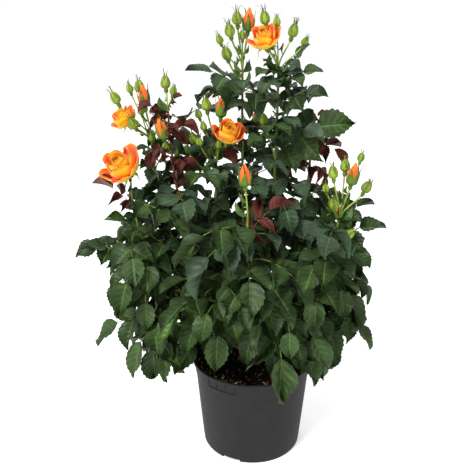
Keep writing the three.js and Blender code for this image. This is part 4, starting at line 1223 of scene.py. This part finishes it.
class ROSE_OT_soil(Operator):
    """Fill the pot with peat and scatter bark and perlite over it."""

    bl_idname = "rose.soil"
    bl_label = "Soil"

    def execute(self, context):
        s = context.scene.rose_pot
        floor = POT["floor"] + CLEARANCE
        profile = [(0.01, floor), (POT["foot"] - 5.5, floor), (SOIL_EDGE - 6, SOIL_LEVEL - 24)]
        buried = len(profile)
        for ring in range(SOIL_RINGS + 1):
            radius = lerp(SOIL_EDGE, 0.01, ring / SOIL_RINGS)
            profile.append((radius, self.level(radius)))
        points = turned_points(profile, SOIL_SEGMENTS)
        for point in points[buried:].reshape(-1, 3):
            fade = min(1.0, (SOIL_EDGE - math.hypot(point[0], point[1])) / 4 + 0.3)
            point[2] += fade * (noise.noise(Vector(point) / 9) * 2.2 + noise.noise(Vector(point) / 3) * 1.3)
        skin = Skin()
        skin.add(points, grid_triangles(len(profile), SOIL_SEGMENTS, closed=True))
        peat = damp_peat(opaque(s.peat))
        make_piece("peat", skin.parts, [peat], ["soil"])
        bits = Skin()
        self.add_grains(bits, s.grains)
        kinds = [peat, pine_bark_chips(), expanded_perlite()]
        make_pieces("bark_and_perlite", bits, kinds, smooth=False)
        return {"FINISHED"}

    def add_grains(self, skin, count):
        """Crumbs of peat all over, with bark and perlite that gather dry against the wall."""
        corners = np.array([(1, 0, 0), (-1, 0, 0), (0, 1, 0), (0, -1, 0), (0, 0, 1), (0, 0, -1)], float)
        over = [(0, 2, 4), (2, 1, 4), (1, 3, 4), (3, 0, 4)]
        faces = np.array([*over, (2, 0, 5), (1, 2, 5), (3, 1, 5), (0, 3, 5)])
        rng = np.random.default_rng(GRAINS["seed"])
        for _ in range(count):
            out, bearing = SOIL_EDGE * math.sqrt(rng.uniform(0.06, 0.97)), rng.uniform(0, 2 * math.pi)
            dry = GRAINS["least_dry"] + GRAINS["most_dry"] * (out / SOIL_EDGE) ** 6
            kind = rng.choice(3, p=(1 - dry, dry * GRAINS["bark"], dry * (1 - GRAINS["bark"])))
            size = rng.uniform(*GRAINS["dry" if kind else "crumb"])
            shape = corners * size * rng.uniform(0.5, 1.5, 3) + rng.normal(0, size * 0.18, (6, 3))
            turn = np.linalg.qr(rng.normal(size=(3, 3)))[0]
            turn *= np.sign(np.linalg.det(turn))
            place = (out * math.cos(bearing), out * math.sin(bearing), self.level(out) + 0.9 + size * 0.2)
            skin.add(shape @ turn.T + place, faces, int(kind))

    @staticmethod
    def level(radius):
        """Height of the soil at a radius: a low dome round the crown that falls away to the wall."""
        radii = [0, CROWN["flare"] + 4, CROWN["flare"] + 30, 110]
        return SOIL_LEVEL - 1.2 + np.interp(radius, radii, [SOIL_DOME, SOIL_DOME, SOIL_DOME * 0.7, 0])


def bark_relief(start, end, knots, seed, rough):
    """The relief of a stretch of cane: swollen knots, long ridges, and short ripples between them."""

    def relief(t, sides):
        share = lerp(start, end, t)[:, None]
        knot = sum(KNOT_RISE * np.exp(-(((share - k) / KNOT_WIDTH) ** 2)) for k in knots)
        j = np.arange(sides)[None, :]
        ridge = 0.035 * rough * np.sin(j * 2 * math.pi / sides * 5 + share * 9 + seed)
        ripple = 0.03 * rough * np.sin(share * 160 + j * 1.7) * np.sin(share * 57 + seed)
        return 1 + knot + ridge + ripple

    return relief


class ROSE_OT_canes(Operator):
    """Grow the woody crown, the canes with their bark, the side twigs and the prickles."""

    bl_idname = "rose.canes"
    bl_label = "Crown and canes"

    def execute(self, context):
        s = context.scene.rose_canes
        wood, green, prickles = Skin(), Skin(), Skin()
        self.add_crown(wood)
        for shoot in shoots_as_set(context):
            girth, neck = TIERS[shoot["tier"]], shoot["neck"]
            rng = np.random.default_rng(shoot["seed"])
            knots = rng.uniform(0.08, 0.98, KNOTS)
            girths = (girth["base"] * 1.12, girth["base"], girth["neck"])
            tube(
                wood, stretch(shoot["run"], 0, neck), girths, s.sides, 60,
                relief=bark_relief(0, neck, knots, shoot["seed"], rough=2.2),
            )
            tube(
                green, stretch(shoot["run"], neck - 0.004, 1), (girth["neck"], girth["tip"]), s.sides, 90,
                relief=bark_relief(neck, 1, knots, shoot["seed"], rough=0.8),
                finish=1 if shoot["name"] in YOUNG_CANES else 0,
            )
            for twig in shoot["twigs"]:
                tube(green, twig["run"], (1.5, 1.0), 8, 14)
            for _ in range(s.prickles):
                share = rng.uniform(0.12, 0.96)
                girth_here = np.interp(share, [0, neck, 1], [girth["base"], girth["neck"], girth["tip"]])
                self.add_prickle(prickles, shoot["run"], share, girth_here, s.prickle / MM, rng)
        make_pieces("bark", wood, [lignified_bark()], ["crown", *BOUGH_NODES])
        skins = [
            green_cane_skin("green_cane_skin", "#4e6428", "#708a36", "#8ea042"),
            green_cane_skin("copper_shoot_skin", "#5e3a20", "#7c5226", "#8d6a2c"),
        ]
        make_pieces("green_canes", green, skins, FOLIAGE_NODES)
        horn = green_cane_skin("prickle_horn", "#6a2a1c", "#8c4028", "#a8603a")
        make_pieces("prickles", prickles, [horn])
        return {"FINISHED"}

    @staticmethod
    def add_crown(skin):
        """The woody foot, set a little into the soil, with a knuckle where the canes leave it."""
        shares = np.linspace(0, 1, CROWN_ROWS)
        radii = [CROWN["flare"] - 1, CROWN["neck"] + 3, CROWN["neck"], CROWN["knuckle"], CROWN["neck"], 6]
        radius = np.interp(shares, [0, 0.2, 0.45, 0.68, 0.92, 1.0], radii)
        height = CROWN_FOOT - 1.5 + (CROWN["height"] + 1.5) * shares
        points = turned_points(np.stack([radius, height], 1), CROWN_SIDES)
        for point in points.reshape(-1, 3):
            point[:2] *= 1 + noise.noise(Vector(point) / 12) * 0.16 + noise.noise(Vector(point) / 4) * 0.07
        skin.add(*capped(points, (0, 0, points[0, 0, 2]), (0, 0, points[-1, 0, 2] + 1)))

    @staticmethod
    def add_prickle(skin, run, share, girth, length, rng):
        """A prickle that bends down the cane."""
        heading = heading_at(run, share)
        side, up = basis(heading)
        angle = rng.uniform(0, 2 * math.pi)
        out = side * math.cos(angle) + up * math.sin(angle)
        root = run(share) + out * girth * 0.7
        length = length * rng.uniform(0.6, 1.1)
        hook = bezier(root, root + out * length * 0.6, root + out * length - heading * length * 0.35)
        tube(skin, hook, PRICKLE_GIRTHS, 5, 4)


class ROSE_OT_leaves(Operator):
    """Grow the compound leaves of every mass, with their stalks."""

    bl_idname = "rose.leaves"
    bl_label = "Leaves"

    def execute(self, context):
        blades, ribs = Skin(), Skin()
        for shoot in shoots_as_set(context):
            sprays = shoot["grown"] + [made for twig in shoot["twigs"] for made in twig["grown"]]
            for number, made in enumerate(sprays):
                draw = seeded(shoot["seed"] * 5000 + number)
                young = made.get("young", False)
                height = made["rib"](0)[2]
                finish = MAROON if young else leaf_finish(height, draw)
                level, form = LISTED_LEVEL, dict(width=BROAD_WIDTH if height > LEVEL_FROM else BLADE_WIDTH)
                if young:
                    form = YOUNG_BLADE
                elif "by_rule" in made:
                    level, form = self.rule_level(height), dict(width=BLADE_WIDTH)
                tube(ribs, made["rib"], STALK_GIRTHS * made["size"], 6, 8, finish=1 if young else 0)
                for blade in made["leaflets"]:
                    add_blade(blades, blade, draw, finish, level=level, **form)
            for number, flower in enumerate(shoot["flowers"]):
                self.add_bracts(blades, flower, seeded(shoot["seed"] * 900 + number))
        materials = leaf_materials(context.scene.rose_leaves)
        make_pieces("rose_leaves", blades, materials, FOLIAGE_NODES)
        skins = [
            green_cane_skin("leaf_stalk_skin", "#4c6228", "#6a8034", "#86783a"),
            green_cane_skin("copper_stalk_skin", "#5e2f24", "#7c4530", "#8d5a34"),
        ]
        make_pieces("leaf_stalks", ribs, skins, FOLIAGE_NODES)
        return {"FINISHED"}

    @staticmethod
    def rule_level(height):
        return MOST_LEVEL * min(max((height - LEVEL_FROM) / LEVEL_OVER, 0), 1)

    @staticmethod
    def add_bracts(skin, flower, draw):
        """Two small narrow leaves: one where the flower's stalk forks off, one part of the way along it."""
        for share, length in BRACTS:
            heading = heading_at(flower["stalk"], share)
            side, up = basis(heading)
            angle = draw() * ANY_TURN
            out = side * math.cos(angle) + up * math.sin(angle)
            root, size = flower["stalk"](share), length * (0.7 + 0.6 * draw())
            blade = leaflet(root, out + heading * 0.7, np.cross(out, heading), size)
            add_blade(skin, blade, draw, FRESH, **BRACT_BLADE)


# Each whorl of a bloom: petals (0 for the number set), half the turn that one covers, how far its rim dips to
# the sides, how much narrower it ends, and its profile as shares of the bloom's radius out from and along the
# axis.
BLOOM_WHORLS = (
    (0, 0.72, 0.44, 0.4, (0.1, 0), (0.46, 0.06), (0.8, 0.26), (0.94, 0.5), (1.04, 0.7), (1.14, 0.74)),
    (3, 1.1, 0.34, 0.35, (0.1, 0), (0.42, 0.12), (0.64, 0.42), (0.7, 0.74), (0.68, 1.0), (0.76, 1.12)),
    (3, 1.15, 0.3, 0.3, (0.1, 0), (0.3, 0.2), (0.45, 0.52), (0.47, 0.84), (0.42, 1.06), (0.47, 1.15)),
    (2, 1.7, 0.24, 0.2, (0.08, 0), (0.18, 0.25), (0.27, 0.55), (0.26, 0.85), (0.18, 1.04), (0.19, 1.1)),
)
# Outlines of the furled petals and of a closed bud, as shares of its radius and height.
FURLED = (
    (0.3, 0), (0.66, 0.1), (0.98, 0.28), (1.02, 0.46), (0.86, 0.66), (0.6, 0.84), (0.36, 0.96), (0.24, 1.0),
)
CLOSED = (
    (0.4, -0.02), (0.8, 0.06), (1.0, 0.18), (1.04, 0.34), (0.92, 0.5), (0.66, 0.64), (0.34, 0.75),
    (0.01, 0.82),
)
# The seed case under a flower, and the girths of its stalk and size of that case by kind.
HIP = ((0.6, -9), (2.2, -8.2), (3.6, -5.5), (3.9, -3), (3.2, -0.6), (2.8, 0.8), (0.1, 1.2))
STALK_WIDTHS = {"bloom": 1.9, "opening": 1.5, "bud": 1.5, "young": 1.2}
HIP_SIZES = {"bloom": 1.5, "opening": 1.0, "bud": 1.0, "young": 0.75}
PETAL_ROWS, PETAL_COLUMNS, SEPAL_ROWS, SEPAL_COLUMNS = 14, 13, 12, 5
BROWN_FROM = 7  # the row from which a sepal's tip is brown


class ROSE_OT_flowers(Operator):
    """Make the blooms, the opening buds and the closed buds on their stalks."""

    bl_idname = "rose.flowers"
    bl_label = "Flowers and buds"

    def execute(self, context):
        s = context.scene.rose_flowers
        petals, sepals, stalks = Skin(), Skin(), Skin()
        nodes = []
        for shoot in shoots_as_set(context):
            for number, flower in enumerate(shoot["flowers"]):
                rng = np.random.default_rng(shoot["seed"] * 100 + number)
                width = STALK_WIDTHS[flower["kind"]]
                tube(stalks, flower["stalk"], (width, width * 0.9, width * 1.1), 10, 20)
                self.add_hip(sepals, flower)
                self.add_sepals(sepals, flower, rng)
                if flower["kind"] == "bloom":
                    self.add_bloom(petals, flower, s.petals, rng)
                elif flower["kind"] == "opening":
                    self.add_furled(petals, flower, rng)
                else:
                    self.add_closed(sepals, flower, rng)
            if shoot["flowers"]:
                nodes.append(f"foliage_{shoot['name']}")
        inner = petal_skin("rose_petal_inside", (
            (0.0, linear("#ffae0c")), (0.3, opaque(s.inside)), (0.76, linear("#ffc21c")),
            (1.0, linear("#ff861e")),
        ))
        outer = petal_skin("rose_petal_outside", (
            (0.0, linear("#ffa42c")), (0.24, opaque(s.flush)), (0.66, opaque(s.outside)),
            (1.0, linear("#ff8a20")),
        ))
        make_pieces("petals", petals, [outer, inner], nodes)
        green = leaf_cuticle("rose_sepal", opaque(s.sepal), 0.5)
        pale = leaf_cuticle("rose_sepal_inside", linear("#8c9c38"), 0.6)
        brown = leaf_cuticle("rose_sepal_tip", linear("#4a4422"), 0.6)
        make_pieces("sepals_and_hips", sepals, [green, pale, brown], nodes)
        skin = green_cane_skin("flower_stalk_skin", "#76902c", "#8fa838", "#a6b848")
        make_pieces("flower_stalks", stalks, [skin], nodes)
        return {"FINISHED"}

    @staticmethod
    def place(flower, points):
        """Points about the flower's own axis, carried to where it stands."""
        side, up = basis(flower["axis"])
        matrix = np.stack([side, up, flower["axis"]])
        return np.asarray(points) @ matrix + flower["base"]

    def add_hip(self, skin, flower):
        profile = np.array(HIP) * HIP_SIZES[flower["kind"]]
        points = self.place(flower, turned_points(profile, 14))
        skin.add(points, grid_triangles(len(profile), 14, closed=True))

    def petal(self, skin, flower, angle, spread, profile, dip, rng, thickness, finish, tip, narrow):
        """One petal: a profile of radius and height swept round part of a turn, its rim rounded."""
        v = np.linspace(0, 1, PETAL_ROWS)[:, None]
        u = np.linspace(-1, 1, PETAL_COLUMNS)[None, :]
        at = np.linspace(0, 1, len(profile))
        reach = v * (1 - dip * np.abs(u) ** 2.2 + tip * (1 - np.abs(u)) ** 2)
        radius = np.interp(reach, at, profile[:, 0])
        height = np.interp(reach, at, profile[:, 1])
        width = np.interp(v, [0, 0.3, 0.7, 1], [0.3, 0.75, 1.0, 1 - narrow])
        turn = angle + spread * u * width
        flutter = rng.uniform(0.01, 0.035) * np.sin(u * rng.uniform(2, 4) + rng.uniform(0, 6)) * v**2
        cup = 1 - 0.1 * u**2 * v
        radius = radius * (1 + flutter * 1.6) * cup
        height = height * (1 + flutter)
        points = np.stack([radius * np.cos(turn), radius * np.sin(turn), height], -1)
        shell(skin, self.place(flower, points), thickness, *finish, along=v)

    def add_bloom(self, skin, flower, count, rng):
        """Cupped whorls: the outer petals open and roll back, the inner ones wrap round each other."""
        r = flower["radius"]
        for layer, (petals, spread, dip, narrow, *profile) in enumerate(BLOOM_WHORLS):
            petals = petals or count
            finish = (0, 1) if layer < 2 else (1, 1)
            for i in range(petals):
                turned = (i + 0.5 * (layer % 2)) / petals * 2 * math.pi
                angle = turned + layer * 0.3 + rng.uniform(-0.14, 0.14)
                shape = np.array(profile) * r * rng.uniform(0.92, 1.06, 2)
                self.petal(skin, flower, angle, spread, shape, dip, rng, 0.5, finish, tip=0.08, narrow=narrow)

    def add_furled(self, skin, flower, rng):
        """Three whorls of petals wrapped round each other, each taller and narrower than the last."""
        radius, height = BUD_SIZES["opening"]
        for layer in range(3):
            for i in range(3):
                angle = i / 3 * 2 * math.pi + layer * 0.7 + rng.uniform(-0.1, 0.1)
                tall = height * (0.88 + layer * 0.06)
                profile = np.array(FURLED) * (radius * (1.02 - layer * 0.2), tall)
                self.petal(skin, flower, angle, 1.4, profile, 0.26, rng, 0.3, (0, 0), tip=0.06, narrow=0.2)

    def add_closed(self, skin, flower, rng):
        """A green bud with five faint ridges where its sepals meet."""
        radius, height = BUD_SIZES[flower["kind"]]
        points = turned_points(np.array(CLOSED) * (radius * 1.16, height), 20)
        ridge = 1 + 0.06 * np.cos(np.arange(20) / 20 * 2 * math.pi * 5 + rng.uniform(0, 6))
        points[..., :2] *= ridge[None, :, None]
        skin.add(self.place(flower, points), grid_triangles(len(CLOSED), 20, closed=True), 1)

    def add_sepals(self, skin, flower, rng):
        """Five lance-shaped sepals with thin hooked tips: closed over a bud, bent back under a bloom."""
        v = np.linspace(0, 1, SEPAL_ROWS)[:, None]
        u = np.linspace(-1, 1, SEPAL_COLUMNS)[None, :]
        dark = np.repeat(np.arange(SEPAL_ROWS - 1) > BROWN_FROM, 2 * (SEPAL_COLUMNS - 1))
        start = rng.uniform(0, ANY_TURN)
        for i in range(5):
            angle = start + i / 5 * 2 * math.pi + rng.uniform(-0.12, 0.12)
            long, lean = rng.uniform(0.75, 1.3), rng.uniform(0.1, 1.0)
            radius, height, half = self.sepal_profile(flower, v, long, lean)
            width = half * np.interp(v, [0, 0.25, 0.5, 0.66, 0.8, 1], [0.8, 1.0, 0.72, 0.28, 0.16, 0.09])
            turn = angle + u * width / np.maximum(radius, 3.0) + 0.3 * lean * np.sin(v * 9 + start) * v**2
            cup = radius - 0.12 * width * u**2
            height = np.broadcast_to(height, turn.shape)
            points = np.stack([cup * np.cos(turn), cup * np.sin(turn), height], -1)
            shell(skin, self.place(flower, points), 0.4, np.where(dark, 2, 1), np.where(dark, 2, 0))

    @staticmethod
    def sepal_profile(flower, v, long, lean):
        """A sepal's distance from the axis and height along its length, and half its width."""
        if flower["kind"] == "bloom":
            size = flower["radius"] * 0.92
            radius = np.interp(v, [0, 0.3, 0.7, 1], [0.14, 0.4, 0.66, 0.8 * long])
            height = np.interp(v, [0, 0.3, 0.7, 1], [0.0, 0.02, -0.16, -0.42])
            return radius * size, height * size, 0.14 * size
        wide, tall = BUD_SIZES[flower["kind"]]
        if flower["kind"] == "opening":
            along = [0, 0.2, 0.5, 0.75, 1]
            radius = np.interp(v, along, [0.4, 0.98, 1.14, 0.98 + 0.2 * lean, 0.9 + 0.9 * lean])
            height = np.interp(v, along, [0, 0.1, 0.42, 0.68, 0.9 * long])
            return radius * wide, height * tall, 6.6
        along = [0, 0.15, 0.4, 0.6, 0.75, 0.9, 1]
        spread = (0.3 + 0.1 * lean, 0.24 + 0.8 * lean, 0.26 + 1.7 * lean)
        radius = np.interp(v, along, [0.45, 0.98, 1.22, 0.86, *spread])
        tip = (0.5 + 0.56 * long, 0.5 + 0.62 * long - 0.12 * lean)
        height = np.interp(v, along, [0, 0.08, 0.36, 0.64, 0.84, *tip])
        return radius * wide, height * tall, 0.6 * wide


FLOOR_RADII = (0.01, 1500, 90_000)  # the table runs on to where it meets the sky
LIGHTS = (  # name, place and size in metres, power in watts
    ("key", (-1.3, -1.9, 2.8), 1.1, 105),
    ("fill", (2.4, -1.6, 1.6), 2.2, 5),
    ("back", (-0.5, 2.4, 2.4), 1.8, 22),
)
LIT_POINT = Vector((0, 0, 0.4))


class ROSE_OT_stage(Operator):
    """Set up the pale floor, the soft lights and the camera."""

    bl_idname = "rose.stage"
    bl_label = "Stage"

    def execute(self, context):
        s = context.scene.rose_stage
        camera = bpy.data.objects.new("camera", bpy.data.cameras.new("camera"))
        camera.data.lens, camera.data.sensor_width = s.lens, 36
        camera.location = (0, -s.distance, s.height)
        camera.rotation_euler = (math.radians(90) - s.pitch, 0, s.yaw)
        context.scene.collection.objects.link(camera)
        context.scene.camera = camera
        points = turned_points([(radius, 0) for radius in FLOOR_RADII], 64).reshape(-1, 3) * MM
        triangles = grid_triangles(len(FLOOR_RADII), 64, closed=True)
        mesh = bpy.data.meshes.new("floor")
        mesh.from_pydata(points.tolist(), [], triangles.tolist())
        mesh.materials.append(lit_white_acrylic(s.glow))
        floor = bpy.data.objects.new("floor", mesh)
        context.scene.collection.objects.link(floor)
        for light in LIGHTS:
            self.add_light(context, *light)
        world = bpy.data.worlds.new("studio")
        world.use_nodes = True
        world.node_tree.nodes["Background"].inputs["Color"].default_value = (1, 1, 1, 1)
        world.node_tree.nodes["Background"].inputs["Strength"].default_value = s.sky
        context.scene.world = world
        context.scene.view_settings.view_transform = "Standard"
        return {"FINISHED"}

    @staticmethod
    def add_light(context, name, place, size, power):
        light = bpy.data.lights.new(name, "AREA")
        light.size, light.energy = size, power
        made = bpy.data.objects.new(name, light)
        made.location = place
        made.rotation_euler = (LIT_POINT - Vector(place)).to_track_quat("-Z", "Y").to_euler()
        context.scene.collection.objects.link(made)


class ROSE_PT_panel(Panel):
    """Lists the bush's pieces in the order in which they are built."""

    bl_idname = "ROSE_PT_panel"
    bl_label = "Rose bush"
    bl_space_type = "VIEW_3D"
    bl_region_type = "UI"
    bl_category = "Rose bush"

    def draw(self, context):
        for group, _ in SETTINGS:
            box = self.layout.box()
            for name in getattr(context.scene, group).__class__.__annotations__:
                box.prop(getattr(context.scene, group), name)
        for operator in OPERATORS:
            self.layout.operator(operator.bl_idname)


SETTINGS = (
    ("rose_pot", PotSettings), ("rose_canes", CaneSettings), ("rose_leaves", LeafSettings),
    ("rose_flowers", FlowerSettings), ("rose_stage", StageSettings),
)
OPERATORS = (ROSE_OT_stage, ROSE_OT_pot, ROSE_OT_soil, ROSE_OT_canes, ROSE_OT_leaves, ROSE_OT_flowers)


def register():
    for name, group in SETTINGS:
        bpy.utils.register_class(group)
        setattr(bpy.types.Scene, name, PointerProperty(type=group))
    for made in (*OPERATORS, ROSE_PT_panel):
        bpy.utils.register_class(made)


def unregister():
    for made in (ROSE_PT_panel, *reversed(OPERATORS)):
        bpy.utils.unregister_class(made)
    for name, group in reversed(SETTINGS):
        delattr(bpy.types.Scene, name)
        bpy.utils.unregister_class(group)


def main():
    register()
    bpy.ops.rose.stage()
    bpy.ops.rose.pot()
    bpy.ops.rose.soil()
    bpy.ops.rose.canes()
    bpy.ops.rose.leaves()
    bpy.ops.rose.flowers()


if __name__ == "__main__":
    main()
